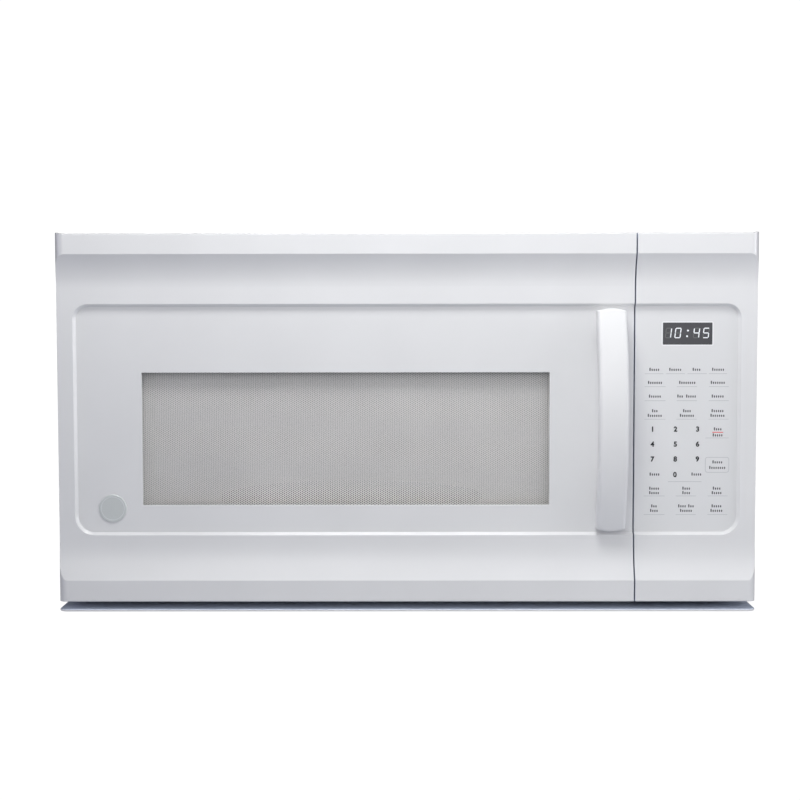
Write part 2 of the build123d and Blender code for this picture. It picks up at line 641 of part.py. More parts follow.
with BuildPart() as badge_disc:
    badge_y = (Y_FIELD - BADGE_THICKNESS, Y_FIELD)
    rod_y(DOOR_LEFT + BADGE_LEFT, badge_y, FIELD_BOTTOM + BADGE_RISE, BADGE_RADIUS)
    chamfer(badge_disc.faces().sort_by(Axis.Y)[0].edges(), BADGE_THICKNESS / 3)
badge_disc.part.label = "badge_disc"
export_step(badge_disc.part, "parts/badge_disc.step")

# Latch key: an upright bar with two hooks that reach through the face plate.
with BuildPart() as door_latch:
    slab((LATCH_X - LATCH_WIDTH / 2, LATCH_X + LATCH_WIDTH / 2), latch_y, latch_z)
    for level in hook_levels:
        with BuildSketch(Plane.YZ.offset(LATCH_X - LATCH_WIDTH / 2)):
            with BuildLine():
                top = level + LATCH_HOOK_HEIGHT / 2
                low = level - LATCH_HOOK_HEIGHT / 2
                tip = Y_FACE + LATCH_REACH
                Polyline(
                    (latch_y[0], top),
                    (tip - LATCH_TOOTH, top),
                    (tip, top - LATCH_TOOTH),
                    (tip, low),
                    (tip - LATCH_TOOTH, low - LATCH_TOOTH),
                    (tip - 2 * LATCH_TOOTH, low - LATCH_TOOTH),
                    (tip - 2 * LATCH_TOOTH, low),
                    (latch_y[0], low),
                    close=True,
                )
            make_face()
        extrude(amount=LATCH_WIDTH)
door_latch.part.label = "door_latch"
export_step(door_latch.part, "parts/door_latch.step")

with BuildPart() as latch_spring:
    spring_y = (latch_y[0] + latch_y[1]) / 2
    rod_z(LATCH_X, spring_y, spring_z, SPRING_RADIUS)
    rod_z(LATCH_X, spring_y, spring_z, SPRING_RADIUS / 2, mode=Mode.SUBTRACT)
latch_spring.part.label = "latch_spring"
export_step(latch_spring.part, "parts/latch_spring.step")

# ------------------------------------------------------------------ control panel
display_x = (PANEL_LEFT + DISPLAY_LEFT, PANEL_LEFT + DISPLAY_LEFT + DISPLAY_WIDTH)
display_z = (FRONT_TOP - DISPLAY_DROP - DISPLAY_HEIGHT, FRONT_TOP - DISPLAY_DROP)


def keypad_sheet():
    """Thin sheet over the panel's part of the field, with the display cut out."""
    with BuildPart() as sheet:
        extrude(field_outline(Y_FIELD, FIELD_BEVEL + OVERLAY_MARGIN), amount=-OVERLAY)
        slab((PANEL_LEFT + OVERLAY_MARGIN, SIDE), (Y_LIP, Y_BACK), (BOTTOM, TOP), mode=Mode.INTERSECT)
        slab(display_x, (Y_LIP, Y_BACK), display_z, mode=Mode.SUBTRACT)
    return sheet.part


with BuildPart() as control_panel:
    add(moulding_block(PANEL_LEFT, SIDE, panel_left_radii, panel_right_radii))
    add(moulding_hollow(PANEL_LEFT, SIDE, panel_left_radii, panel_right_radii), mode=Mode.SUBTRACT)
    add(
        moulding_corner(
            PANEL_LEFT,
            SIDE,
            panel_left_radii,
            panel_right_radii,
            (SIDE - END_RIB_WIDTH, SIDE),
            (Y_LIP, Y_BACK),
            (FRONT_TOP, TOP),
        )
    )
    # the left wall runs on to the face plate, and two lugs reach inside the case
    slab((PANEL_LEFT, PANEL_LEFT + WALL), (Y_BACK, Y_FACE), (FACE_BOTTOM + PAN_GAP, GRILLE_BOTTOM))
    for level in (Z_UPPER_COVE, Z_LOWER_COVE):
        slab((INSIDE - WALL, SIDE - WALL), (Y_BACK - 4 * WALL, Y_BACK), (level - 4 * WALL, level + 4 * WALL))
        slab((INSIDE - WALL, INSIDE), (Y_BACK, Y_FACE + 4 * WALL), (level - 4 * WALL, level + 4 * WALL))
    slab(display_x, (Y_FIELD, Y_FIELD + 2 * WALL), display_z, mode=Mode.SUBTRACT)
    # shallow seat for the keypad overlay
    add(keypad_sheet(), mode=Mode.SUBTRACT)
control_panel.part.label = "control_panel"
export_step(control_panel.part, "parts/control_panel.step")

with BuildPart() as keypad_overlay:
    add(keypad_sheet())
keypad_overlay.part.label = "keypad_overlay"
export_step(keypad_overlay.part, "parts/keypad_overlay.step")

with BuildPart() as display_window:
    slab(display_x, (Y_FIELD + OVERLAY / 2, Y_FIELD + OVERLAY / 2 + DISPLAY_LENS), display_z)
    fillet(display_window.edges().filter_by(Axis.Y), WINDOW_CORNER)
display_window.part.label = "display_window"
export_step(display_window.part, "parts/display_window.step")

board_back = Y_FACE - CONTROL_BOARD_FROM_FACE
module_y = (Y_FIELD + WALL, board_back - BOARD)
with BuildPart() as display_module:
    slab(
        (display_x[0] - WALL, display_x[1] + WALL), module_y, (display_z[0] - WALL, display_z[1] + WALL)
    )
    slab(
        (display_x[0] + WALL, display_x[1] - WALL),
        (module_y[0], module_y[0] + BOARD),
        (display_z[0] + WALL, display_z[1] - WALL),
        mode=Mode.SUBTRACT,
    )
display_module.part.label = "display_module"
export_step(display_module.part, "parts/display_module.step")

board_x = (PANEL_LEFT + 2 * WALL, PANEL_LEFT + 2 * WALL + CONTROL_BOARD[0])
board_z = (display_z[1] + WALL - CONTROL_BOARD[1], display_z[1] + WALL)
with BuildPart() as control_board:
    slab(board_x, (board_back - BOARD, board_back), board_z)
    relay = (19.0, 7.0, 15.0)
    for step in range(3):
        x_relay = board_x[0] + relay[0] * (1 + 1.5 * step)
        z_relay = board_z[0] + 2 * relay[2]
        slab(
            (x_relay - relay[0] / 2, x_relay + relay[0] / 2),
            (board_back, board_back + relay[1]),
            (z_relay - relay[2] / 2, z_relay + relay[2] / 2),
        )
    slab(
        (board_x[0] + relay[0], board_x[0] + 3 * relay[0]),
        (board_back, board_back + relay[1]),
        (board_z[1] - 4 * relay[2], board_z[1] - 2 * relay[2]),
    )
    # two posts stand the board off the inside of the fascia
    for z_post in (board_z[0] + relay[2], board_z[0] + 2 * relay[2]):
        rod_y(board_x[1] - relay[1], (Y_FIELD + WALL, board_back - BOARD), z_post, WALL)
control_board.part.label = "control_board"
export_step(control_board.part, "parts/control_board.step")

# ------------------------------------------------------------------ cabinet
CASE_SCREW = 2.0
CASE_SCREW_HEAD = 3.8
CASE_SCREW_INSET = 24.0
case_screw_places = [
    (y_screw, z_screw)
    for y_screw in (-CASE_SCREW_INSET, Y_FACE + CASE_SCREW_INSET)
    for z_screw in (BOTTOM + CASE_SCREW_INSET, CASE_TOP - CASE_SCREW_INSET)
]
exhaust_y = (-EXHAUST_FROM_WALL - EXHAUST[1], -EXHAUST_FROM_WALL)
cord_x = CASE_HALF - CORD_FROM_SIDE
with BuildPart() as outer_case:
    slab((-CASE_HALF, CASE_HALF), (Y_FACE, 0), (BOTTOM + CASE_FOOT, CASE_TOP))
    fillet(outer_case.faces().sort_by(Axis.Z)[-1].edges().filter_by(Axis.Y), 2 * SHEET)
    slab(
        (-CASE_HALF + SHEET, CASE_HALF - SHEET), (Y_FACE, 0), (BOTTOM, CASE_TOP - SHEET), mode=Mode.SUBTRACT
    )
    # the grille takes the top's front strip
    slab((-CASE_HALF + SHEET, CASE_HALF - SHEET), (Y_FACE, Y_GRILLE), (0, TOP), mode=Mode.SUBTRACT)
    slab((-EXHAUST[0] / 2, EXHAUST[0] / 2), exhaust_y, (0, TOP), mode=Mode.SUBTRACT)
    for x_bolt in (-CABINET_BOLT_SPACING / 2, CABINET_BOLT_SPACING / 2):
        rod_z(x_bolt, -CABINET_BOLT_FROM_WALL, (0, TOP), CABINET_BOLT, mode=Mode.SUBTRACT)
    rod_z(cord_x, -CORD_FROM_WALL, (0, TOP), CORD_HOLE, mode=Mode.SUBTRACT)
    for y_screw, z_screw in case_screw_places:
        rod_x((-SIDE, SIDE), y_screw, z_screw, CASE_SCREW, mode=Mode.SUBTRACT)
outer_case.part.label = "outer_case"
export_step(outer_case.part, "parts/outer_case.step")

with BuildPart() as rear_panel:
    slab((-INSIDE, INSIDE), (-SHEET, 0), (BOTTOM + CASE_FOOT, CASE_TOP - SHEET - SHEET_FIT))
    # slots that drop over the wall plate's tabs
    with BuildSketch(Plane.XZ):
        with Locations((-PLATE_SLOT_SPACING / 2, BOTTOM + PLATE_SLOT_RISE)):
            Rectangle(*PLATE_SLOT)
        with Locations((PLATE_SLOT_SPACING / 2, BOTTOM + PLATE_SLOT_RISE)):
            Rectangle(*PLATE_SLOT)
    extrude(amount=-SHEET, mode=Mode.SUBTRACT)
rear_panel.part.label = "rear_panel"
export_step(rear_panel.part, "parts/rear_panel.step")

filter_x = CASE_HALF - FILTER_FROM_SIDE - FILTER[0] / 2
filter_centres = {"left": -filter_x, "right": filter_x}
lamp_y = Y_FACE + LAMP_FROM_FACE
with BuildPart() as base_pan:
    slab((-INSIDE, INSIDE), (Y_FACE, -SHEET - SHEET_FIT), (BOTTOM, BOTTOM + PAN_FLANGE))
    slab(
        (-INSIDE + SHEET, INSIDE - SHEET),
        (Y_FACE + SHEET, -2 * SHEET - SHEET_FIT),
        (PAN_FLOOR, BOTTOM + PAN_FLANGE),
        mode=Mode.SUBTRACT,
    )
    # the front wall stops under the face plate, and the rounded lip runs out under the door
    slab((-INSIDE, INSIDE), (Y_FACE, Y_FACE + SHEET), (LIP_PLATE_TOP, TOP), mode=Mode.SUBTRACT)
    with BuildSketch(Plane.XY.offset(LIP_PLATE_BOTTOM)) as lip:
        with Locations((0, (Y_LIP + Y_FACE) / 2)):
            Rectangle(WIDTH, Y_FACE - Y_LIP)
        fillet(lip.vertices().group_by(Axis.Y)[0], CORNER_RADIUS)
    extrude(amount=PAN_LIP)
    fillet(base_pan.edges().group_by(Axis.Y)[0], PAN_LIP / 3)
    for x_centre in filter_centres.values():
        with Locations((x_centre, -FILTER_FROM_WALL, BOTTOM)):
            Box(FILTER[0] + 2 * FILTER_FIT, FILTER[1] + 2 * FILTER_FIT, PAN_FLANGE, mode=Mode.SUBTRACT)
    with Locations((0, lamp_y, BOTTOM)):
        Box(
            LAMP_COVER[0] + 2 * LAMP_COVER_FIT,
            LAMP_COVER[1] + 2 * LAMP_COVER_FIT,
            PAN_FLANGE,
            mode=Mode.SUBTRACT,
        )
base_pan.part.label = "base_pan"
export_step(base_pan.part, "parts/base_pan.step")

# ------------------------------------------------------------------ oven cavity
guide_top = CAVITY_TOP - GUIDE_DROP
guide_y = (Y_FACE + GUIDE_FROM_FACE, Y_FACE + GUIDE_FROM_FACE + GUIDE[1])
guide_z = (guide_top - GUIDE[2], guide_top)
guide_x = (CAVITY_RIGHT + SHEET, CAVITY_RIGHT + SHEET + GUIDE[0])
port_y = (guide_y[0] + PORT_MARGIN, guide_y[1] - PORT_MARGIN)
port_z = (guide_z[0] + PORT_MARGIN, guide_z[1] - PORT_MARGIN)
LAMP_PERFORATION = 2.0
PERFORATION_PITCH = 8.0
cavity_lamp_y = guide_y[0] - 5 * PERFORATION_PITCH
cavity_lamp_z = CAVITY_TOP - 5 * PERFORATION_PITCH


def perforations(x_start, y_centre, z_centre, columns, rows):
    """Grid of small round holes through a side wall of the cavity."""
    for column in range(columns):
        for row in range(rows):
            y_hole = y_centre + (column - (columns - 1) / 2) * PERFORATION_PITCH
            z_hole = z_centre + (row - (rows - 1) / 2) * PERFORATION_PITCH
            through = (x_start - SHEET, x_start + 2 * SHEET)
            rod_x(through, y_hole, z_hole, LAMP_PERFORATION, mode=Mode.SUBTRACT)


with BuildPart() as oven_cavity:
    slab(
        (CAVITY_LEFT - SHEET, CAVITY_RIGHT + SHEET),
        (Y_FACE, CAVITY_BACK + SHEET),
        (CAVITY_FLOOR - SHEET, CAVITY_TOP + SHEET),
    )
    fillet(oven_cavity.edges().filter_by(Axis.Y), CAVITY_CORNER + SHEET)
    slab((-INSIDE, FACE_RIGHT), (Y_FACE, Y_FACE + SHEET), (FACE_BOTTOM, GRILLE_BOTTOM - SHEET_FIT))
    with BuildSketch(Plane.XZ.offset(-Y_FACE)):
        with Locations((TABLE_X, CAVITY_MIDDLE)):
            RectangleRounded(CAVITY_RIGHT - CAVITY_LEFT, CAVITY_TOP - CAVITY_FLOOR, CAVITY_CORNER)
    extrude(amount=Y_FACE - CAVITY_BACK, mode=Mode.SUBTRACT)
    for level in hook_levels:
        slab(hook_slot_x, (Y_FACE - SHEET, Y_FACE + 2 * SHEET), hook_slot_z(level), mode=Mode.SUBTRACT)
    slab((CAVITY_RIGHT - SHEET, guide_x[0] + SHEET), port_y, port_z, mode=Mode.SUBTRACT)
    through_floor = (CAVITY_FLOOR - 2 * SHEET, CAVITY_FLOOR + SHEET)
    rod_z(TABLE_X, TABLE_Y, through_floor, FLOOR_HOLE, mode=Mode.SUBTRACT)
    perforations(CAVITY_RIGHT, cavity_lamp_y, cavity_lamp_z, 4, 4)
oven_cavity.part.label = "oven_cavity"
export_step(oven_cavity.part, "parts/oven_cavity.step")

with BuildPart() as waveguide_cover:
    slab(
        (CAVITY_RIGHT - MICA, CAVITY_RIGHT),
        (port_y[0] - PORT_MARGIN / 2, port_y[1] + PORT_MARGIN / 2),
        (port_z[0] - PORT_MARGIN / 2, port_z[1] + PORT_MARGIN / 2),
    )
waveguide_cover.part.label = "waveguide_cover"
export_step(waveguide_cover.part, "parts/waveguide_cover.step")

magnetron_y = (guide_y[0] + guide_y[1]) / 2
magnetron_z = (guide_z[0] + guide_z[1]) / 2
with BuildPart() as waveguide:
    slab(guide_x, guide_y, guide_z)
    slab(
        (guide_x[0], guide_x[1] - SHEET),
        (guide_y[0] + SHEET, guide_y[1] - SHEET),
        (guide_z[0] + SHEET, guide_z[1] - SHEET),
        mode=Mode.SUBTRACT,
    )
    port = (guide_x[1] - 2 * SHEET, guide_x[1])
    rod_x(port, magnetron_y, magnetron_z, ANTENNA_RADIUS + SHEET, mode=Mode.SUBTRACT)
waveguide.part.label = "waveguide"
export_step(waveguide.part, "parts/waveguide.step")

# Magnetron: anode and fins inside a steel yoke, antenna dome into the waveguide.
magnetron_x = (guide_x[1], guide_x[1] + MAGNETRON[0])
with BuildPart() as magnetron:
    yoke_y = (magnetron_y - MAGNETRON[1] / 2, magnetron_y + MAGNETRON[1] / 2)
    yoke_z = (magnetron_z - MAGNETRON[2] / 2, magnetron_z + MAGNETRON[2] / 2)
    slab(magnetron_x, yoke_y, yoke_z)
    slab(
        (magnetron_x[0] + YOKE, magnetron_x[1] - YOKE),
        (yoke_y[0], yoke_y[1]),
        (yoke_z[0] + YOKE, yoke_z[1] - YOKE),
        mode=Mode.SUBTRACT,
    )
    rod_x((magnetron_x[0], magnetron_x[1]), magnetron_y, magnetron_z, ANODE_RADIUS)
    fin_step = (MAGNETRON[0] - 2 * YOKE) / (FIN_COUNT + 1)
    for number in range(1, FIN_COUNT + 1):
        x_fin = magnetron_x[0] + YOKE + number * fin_step
        slab(
            (x_fin - FIN / 2, x_fin + FIN / 2),
            (yoke_y[0] + FIN, yoke_y[1] - FIN),
            (yoke_z[0] + YOKE, yoke_z[1] - YOKE),
        )
    rod_x((magnetron_x[0] - ANTENNA_LENGTH, magnetron_x[0]), magnetron_y, magnetron_z, ANTENNA_RADIUS)
    # filter box with its two terminals
    box_reach = magnetron_x[1] + ANODE_RADIUS
    slab(
        (magnetron_x[1], box_reach),
        (yoke_y[0] + ANODE_RADIUS, yoke_y[1] - ANODE_RADIUS),
        (yoke_z[0] + ANODE_RADIUS / 2, yoke_z[1] - ANODE_RADIUS / 2),
    )
    slab(
        (magnetron_x[1] + ANODE_RADIUS / 3, box_reach - ANODE_RADIUS / 3),
        (magnetron_y - ANTENNA_RADIUS, magnetron_y + ANTENNA_RADIUS),
        (yoke_z[0] - YOKE, yoke_z[0] + ANODE_RADIUS),
    )
magnetron.part.label = "magnetron"
export_step(magnetron.part, "parts/magnetron.step")

with BuildPart() as magnetron_thermostat:
    magnetron_middle = (magnetron_x[0] + magnetron_x[1]) / 2
    rod_z(magnetron_middle, magnetron_y, (yoke_z[1], yoke_z[1] + 4 * YOKE), ANTENNA_RADIUS)
    slab(
        (magnetron_middle - ANTENNA_RADIUS, magnetron_middle + ANTENNA_RADIUS),
        (magnetron_y - YOKE, magnetron_y + YOKE),
        (yoke_z[1] + 4 * YOKE, yoke_z[1] + 8 * YOKE),
    )
magnetron_thermostat.part.label = "magnetron_thermostat"
export_step(magnetron_thermostat.part, "parts/magnetron_thermostat.step")

# ------------------------------------------------------------------ power parts on the pan's floor
transformer_x = (INSIDE - SHEET - TRANSFORMER[0] - WALL, INSIDE - SHEET - WALL)
transformer_y = (-FILTER_FROM_WALL - TRANSFORMER[1] / 2, -FILTER_FROM_WALL + TRANSFORMER[1] / 2)
transformer_z = (PAN_FLOOR, PAN_FLOOR + TRANSFORMER[2])
window_z = (transformer_z[0] + CORE_LIMB, transformer_z[1] - CORE_LIMB)
core_middle = (transformer_x[0] + transformer_x[1]) / 2
core_windows = (
    (transformer_x[0] + CORE_LIMB, core_middle - CORE_LIMB),
    (core_middle + CORE_LIMB, transformer_x[1] - CORE_LIMB),
)
with BuildPart() as transformer_core:
    slab(transformer_x, transformer_y, transformer_z)
    for span in core_windows:
        slab(span, transformer_y, window_z, mode=Mode.SUBTRACT)
transformer_core.part.label = "transformer_core"
export_step(transformer_core.part, "parts/transformer_core.step")

with BuildPart() as transformer_coils:
    coil_y = (transformer_y[0] - COIL_PROUD, transformer_y[1] + COIL_PROUD)
    gap = SHEET
    middle = (window_z[0] + window_z[1]) / 2
    for low, high in ((window_z[0] + gap, middle - gap), (middle + gap, window_z[1] - gap)):
        with BuildSketch(Plane.XY.offset(low)):
            with Locations((core_middle, (coil_y[0] + coil_y[1]) / 2)):
                RectangleRounded(
                    core_windows[1][1] - core_windows[0][0] - 2 * gap, coil_y[1] - coil_y[0], COIL_PROUD / 2
                )
                Rectangle(2 * CORE_LIMB, TRANSFORMER[1], mode=Mode.SUBTRACT)
        extrude(amount=high - low)
transformer_coils.part.label = "transformer_coils"
export_step(transformer_coils.part, "parts/transformer_coils.step")

capacitor_y = transformer_y[0] - COIL_PROUD - CAPACITOR[1]
with BuildPart() as capacitor:
    with BuildSketch(Plane.XY.offset(PAN_FLOOR)):
        with Locations((core_middle, capacitor_y)):
            SlotOverall(CAPACITOR[0], CAPACITOR[1])
    extrude(amount=CAPACITOR[2])
    for x_tag in (core_middle - CAPACITOR[1] / 3, core_middle + CAPACITOR[1] / 3):
        slab(
            (x_tag - WALL, x_tag + WALL),
            (capacitor_y - SHEET / 2, capacitor_y + SHEET / 2),
            (PAN_FLOOR + CAPACITOR[2], PAN_FLOOR + CAPACITOR[2] + 4 * WALL),
        )
capacitor.part.label = "capacitor"
export_step(capacitor.part, "parts/capacitor.step")

# ------------------------------------------------------------------ cooling fan, behind the magnetron
fan_x = (CAVITY_RIGHT + SHEET + INSIDE) / 2
fan_z = magnetron_z
shroud_y = (-FAN_FROM_WALL - SHEET, -FAN_FROM_WALL)
with BuildPart() as cooling_fan_shroud:
    shroud_z = (fan_z - FAN_RADIUS - 5 * WALL, fan_z + FAN_RADIUS + 5 * WALL)
    slab((CAVITY_RIGHT + SHEET, INSIDE), shroud_y, shroud_z)
    rod_y(fan_x, (shroud_y[0] - 4 * WALL, shroud_y[1]), fan_z, FAN_RADIUS + 2 * WALL)
    rod_y(fan_x, (shroud_y[0] - 4 * WALL, shroud_y[1]), fan_z, FAN_RADIUS + WALL, mode=Mode.SUBTRACT)
    # two arms hold the motor behind the opening
    for side in (-1, 1):
        x_arm = fan_x + side * FAN_MOTOR[0] / 4
        slab(
            (x_arm - WALL, x_arm + WALL),
            (shroud_y[1], shroud_y[1] + SHEET),
            (fan_z - FAN_RADIUS - 4 * WALL, fan_z + FAN_RADIUS + 4 * WALL),
        )
cooling_fan_shroud.part.label = "cooling_fan_shroud"
export_step(cooling_fan_shroud.part, "parts/cooling_fan_shroud.step")

with BuildPart() as cooling_fan_motor:
    motor_front = shroud_y[1] + SHEET
    slab(
        (fan_x - FAN_MOTOR[0] / 2, fan_x + FAN_MOTOR[0] / 2),
        (motor_front, motor_front + FAN_MOTOR[1]),
        (fan_z - FAN_MOTOR[2] / 2, fan_z + FAN_MOTOR[2] / 2),
    )
    fillet(cooling_fan_motor.edges().filter_by(Axis.Y), WALL)
    motor_y = (motor_front, motor_front + FAN_MOTOR[1])
    rod_y(fan_x, motor_y, fan_z, FAN_SHAFT + FAN_RUNNING, mode=Mode.SUBTRACT)
cooling_fan_motor.part.label = "cooling_fan_motor"
export_step(cooling_fan_motor.part, "parts/cooling_fan_motor.step")

fan_y = (shroud_y[0] - FAN_STAND_OFF - FAN_HUB_DEPTH, shroud_y[0] - FAN_STAND_OFF)
with BuildPart() as cooling_fan_shaft:
    rod_y(fan_x, (fan_y[0], motor_front + FAN_MOTOR[1] - WALL), fan_z, FAN_SHAFT)
cooling_fan_shaft.part.label = "cooling_fan_shaft"
export_step(cooling_fan_shaft.part, "parts/cooling_fan_shaft.step")

with BuildPart() as cooling_fan_blade:
    rod_y(fan_x, fan_y, fan_z, FAN_HUB)
    pitch = radians(FAN_PITCH)
    for number in range(FAN_BLADES):
        # each blade is a flat petal, pitched about the line that runs out from the hub
        turn = radians(number * 360 / FAN_BLADES)
        petal = Plane(
            origin=(fan_x, (fan_y[0] + fan_y[1]) / 2, fan_z),
            x_dir=(cos(turn), 0, sin(turn)),
            z_dir=(-sin(turn) * sin(pitch), -cos(pitch), cos(turn) * sin(pitch)),
        )
        with BuildSketch(petal):
            with Locations(((FAN_HUB + FAN_RADIUS) / 2 - WALL, 0)):
                SlotOverall(FAN_RADIUS - FAN_HUB + 2 * WALL, FAN_BLADE_WIDTH)
        extrude(amount=SHEET, both=True)
    rod_y(fan_x, fan_y, fan_z, FAN_SHAFT, mode=Mode.SUBTRACT)
cooling_fan_blade.part.label = "cooling_fan_blade"
export_step(cooling_fan_blade.part, "parts/cooling_fan_blade.step")

filter_board_x = (INSIDE - 4 * WALL, INSIDE - 4 * WALL + BOARD)
filter_board_y = (guide_y[0] - FILTER_BOARD[0], guide_y[0])
filter_board_z = (guide_top, guide_top + FILTER_BOARD[1])
with BuildPart() as line_filter_board:
    slab(filter_board_x, filter_board_y, filter_board_z)
    board_middle = (filter_board_z[0] + filter_board_z[1]) / 2
    choke_x = (filter_board_x[0] - 6 * WALL, filter_board_x[0])
    rod_x(choke_x, filter_board_y[0] + 6 * WALL, board_middle, 4 * WALL)
    slab(
        (filter_board_x[0] - 4 * WALL, filter_board_x[0]),
        (filter_board_y[1] - 8 * WALL, filter_board_y[1] - 2 * WALL),
        (board_middle - 2 * WALL, board_middle + 4 * WALL),
    )
    for y_post in (filter_board_y[0] + 2 * WALL, filter_board_y[1] - 2 * WALL):
        for z_post in (filter_board_z[0] + 2 * WALL, filter_board_z[1] - 2 * WALL):
            rod_x((filter_board_x[1], CASE_HALF - SHEET), y_post, z_post, WALL)
line_filter_board.part.label = "line_filter_board"
export_step(line_filter_board.part, "parts/line_filter_board.step")

# ------------------------------------------------------------------ vent blower, above the cavity
deck = CAVITY_TOP + SHEET
blower_y = -BLOWER_FROM_WALL
blower_z = deck + WALL + SCROLL_WALL + SCROLL_RADIUS
chamber_x = (
    BLOWER_MOTOR_LENGTH / 2 + 2 * SCROLL_WALL,
    BLOWER_MOTOR_LENGTH / 2 + 2 * SCROLL_WALL + WHEEL_WIDTH + 2 * SCROLL_SIDE_GAP,
)
wheel_x = (chamber_x[0] + SCROLL_SIDE_GAP, chamber_x[1] - SCROLL_SIDE_GAP)
blower_motor_x = (-BLOWER_MOTOR_LENGTH / 2, BLOWER_MOTOR_LENGTH / 2)


def scroll_outline(x, grow):
    """Scroll in side view: round chamber with a throat that runs forward at the top."""
    with BuildSketch(Plane.YZ.offset(x)) as outline:
        with Locations((blower_y, blower_z)):
            Circle(SCROLL_RADIUS + grow)
        with Locations((blower_y - SCROLL_THROAT / 2, blower_z + SCROLL_RADIUS - SCROLL_OUTLET / 2)):
            Rectangle(SCROLL_THROAT, SCROLL_OUTLET + 2 * grow)
    return outline.sketch


def blower_span(side, near, far):
    """Ends along X of a span mirrored to one side of the motor, lower end first."""
    return (near, far) if side > 0 else (-far, -near)


foot_y = (blower_y - SCROLL_RADIUS / 2, blower_y + SCROLL_RADIUS / 2)
with BuildPart() as blower_housing:
    # floor strip under both scrolls, with the motor's saddle
    slab((-chamber_x[1], chamber_x[1]), foot_y, (deck, deck + WALL))
    saddle_y = (blower_y - SADDLE / 2, blower_y + SADDLE / 2)
    slab((-SADDLE / 2, SADDLE / 2), saddle_y, (deck, blower_z - SADDLE / 2))
    for side in (-1, 1):
        outer = blower_span(side, chamber_x[0] - SCROLL_WALL, chamber_x[1] + SCROLL_WALL)
        slab(outer, foot_y, (deck, deck + WALL + SCROLL_RADIUS / 2))
        extrude(scroll_outline(outer[0], SCROLL_WALL), amount=outer[1] - outer[0])
        inner = blower_span(side, *chamber_x)
        extrude(scroll_outline(inner[0], 0), amount=inner[1] - inner[0], mode=Mode.SUBTRACT)
        rod_x(outer, blower_y, blower_z, INLET_RADIUS, mode=Mode.SUBTRACT)
    rod_x(blower_motor_x, blower_y, blower_z, BLOWER_MOTOR_RADIUS, mode=Mode.SUBTRACT)
blower_housing.part.label = "blower_housing"
export_step(blower_housing.part, "parts/blower_housing.step")

with BuildPart() as blower_motor:
    rod_x(blower_motor_x, blower_y, blower_z, BLOWER_MOTOR_RADIUS)
    chamfer(blower_motor.edges().filter_by(GeomType.CIRCLE), 2 * WALL)
    rod_x(blower_motor_x, blower_y, blower_z, BLOWER_SHAFT + BLOWER_RUNNING, mode=Mode.SUBTRACT)
blower_motor.part.label = "blower_motor"
export_step(blower_motor.part, "parts/blower_motor.step")

with BuildPart() as blower_shaft:
    rod_x((-wheel_x[1], wheel_x[1]), blower_y, blower_z, BLOWER_SHAFT)
blower_shaft.part.label = "blower_shaft"
export_step(blower_shaft.part, "parts/blower_shaft.step")


def blower_wheel(side):
    """Squirrel-cage wheel: hub plate towards the motor, end ring away from it, flat angled blades."""
    span = blower_span(side, *wheel_x)
    plate = blower_span(side, wheel_x[0], wheel_x[0] + WHEEL_PLATE)
    ring = blower_span(side, wheel_x[1] - WHEEL_PLATE, wheel_x[1])
    hub = blower_span(side, wheel_x[0], wheel_x[0] + WHEEL_WIDTH / 3)
    with BuildPart() as wheel:
        rod_x(plate, blower_y, blower_z, WHEEL_RADIUS)
        rod_x(ring, blower_y, blower_z, WHEEL_RADIUS)
        rod_x(ring, blower_y, blower_z, WHEEL_RADIUS - BLADE_DEPTH, mode=Mode.SUBTRACT)
        with BuildSketch(Plane.YZ.offset(span[0])):
            with Locations((blower_y, blower_z)):
                with PolarLocations(WHEEL_RADIUS - BLADE_DEPTH / 2, WHEEL_BLADES):
                    Rectangle(BLADE_DEPTH, BLADE_SHEET, rotation=BLADE_ANGLE)
        extrude(amount=WHEEL_WIDTH)
        rod_x(hub, blower_y, blower_z, WHEEL_HUB)
        rod_x(hub, blower_y, blower_z, BLOWER_SHAFT, mode=Mode.SUBTRACT)
    return wheel.part


with BuildPart() as blower_wheel_left:
    add(blower_wheel(-1))
blower_wheel_left.part.label = "blower_wheel_left"
export_step(blower_wheel_left.part, "parts/blower_wheel_left.step")

with BuildPart() as blower_wheel_right:
    add(blower_wheel(1))
blower_wheel_right.part.label = "blower_wheel_right"
export_step(blower_wheel_right.part, "parts/blower_wheel_right.step")

# ------------------------------------------------------------------ turntable
axle_z = CAVITY_FLOOR + MOVING_GAP + ROLLER_RADIUS
tray_z = axle_z + ROLLER_RADIUS + MOVING_GAP
coupler_top = tray_z - MOVING_GAP
motor_top = CAVITY_FLOOR - SHEET
with BuildPart() as turntable_motor:
    rod_z(TABLE_X, TABLE_Y, (motor_top - DRIVE_MOTOR_HEIGHT, motor_top), DRIVE_MOTOR_RADIUS)
    slab(
        (TABLE_X - DRIVE_MOTOR_RADIUS - 4 * WALL, TABLE_X + DRIVE_MOTOR_RADIUS + 4 * WALL),
        (TABLE_Y - 2 * WALL, TABLE_Y + 2 * WALL),
        (motor_top - SHEET, motor_top),
    )
    socket = (motor_top - SHAFT_SOCKET, motor_top)
    rod_z(TABLE_X, TABLE_Y, socket, SHAFT_RADIUS + SHAFT_RUNNING, mode=Mode.SUBTRACT)
turntable_motor.part.label = "turntable_motor"
export_step(turntable_motor.part, "parts/turntable_motor.step")

with BuildPart() as turntable_shaft:
    shaft_z = (motor_top - SHAFT_SOCKET + MOVING_GAP, coupler_top - COUPLER_THICK / 2)
    rod_z(TABLE_X, TABLE_Y, shaft_z, SHAFT_RADIUS)
turntable_shaft.part.label = "turntable_shaft"
export_step(turntable_shaft.part, "parts/turntable_shaft.step")

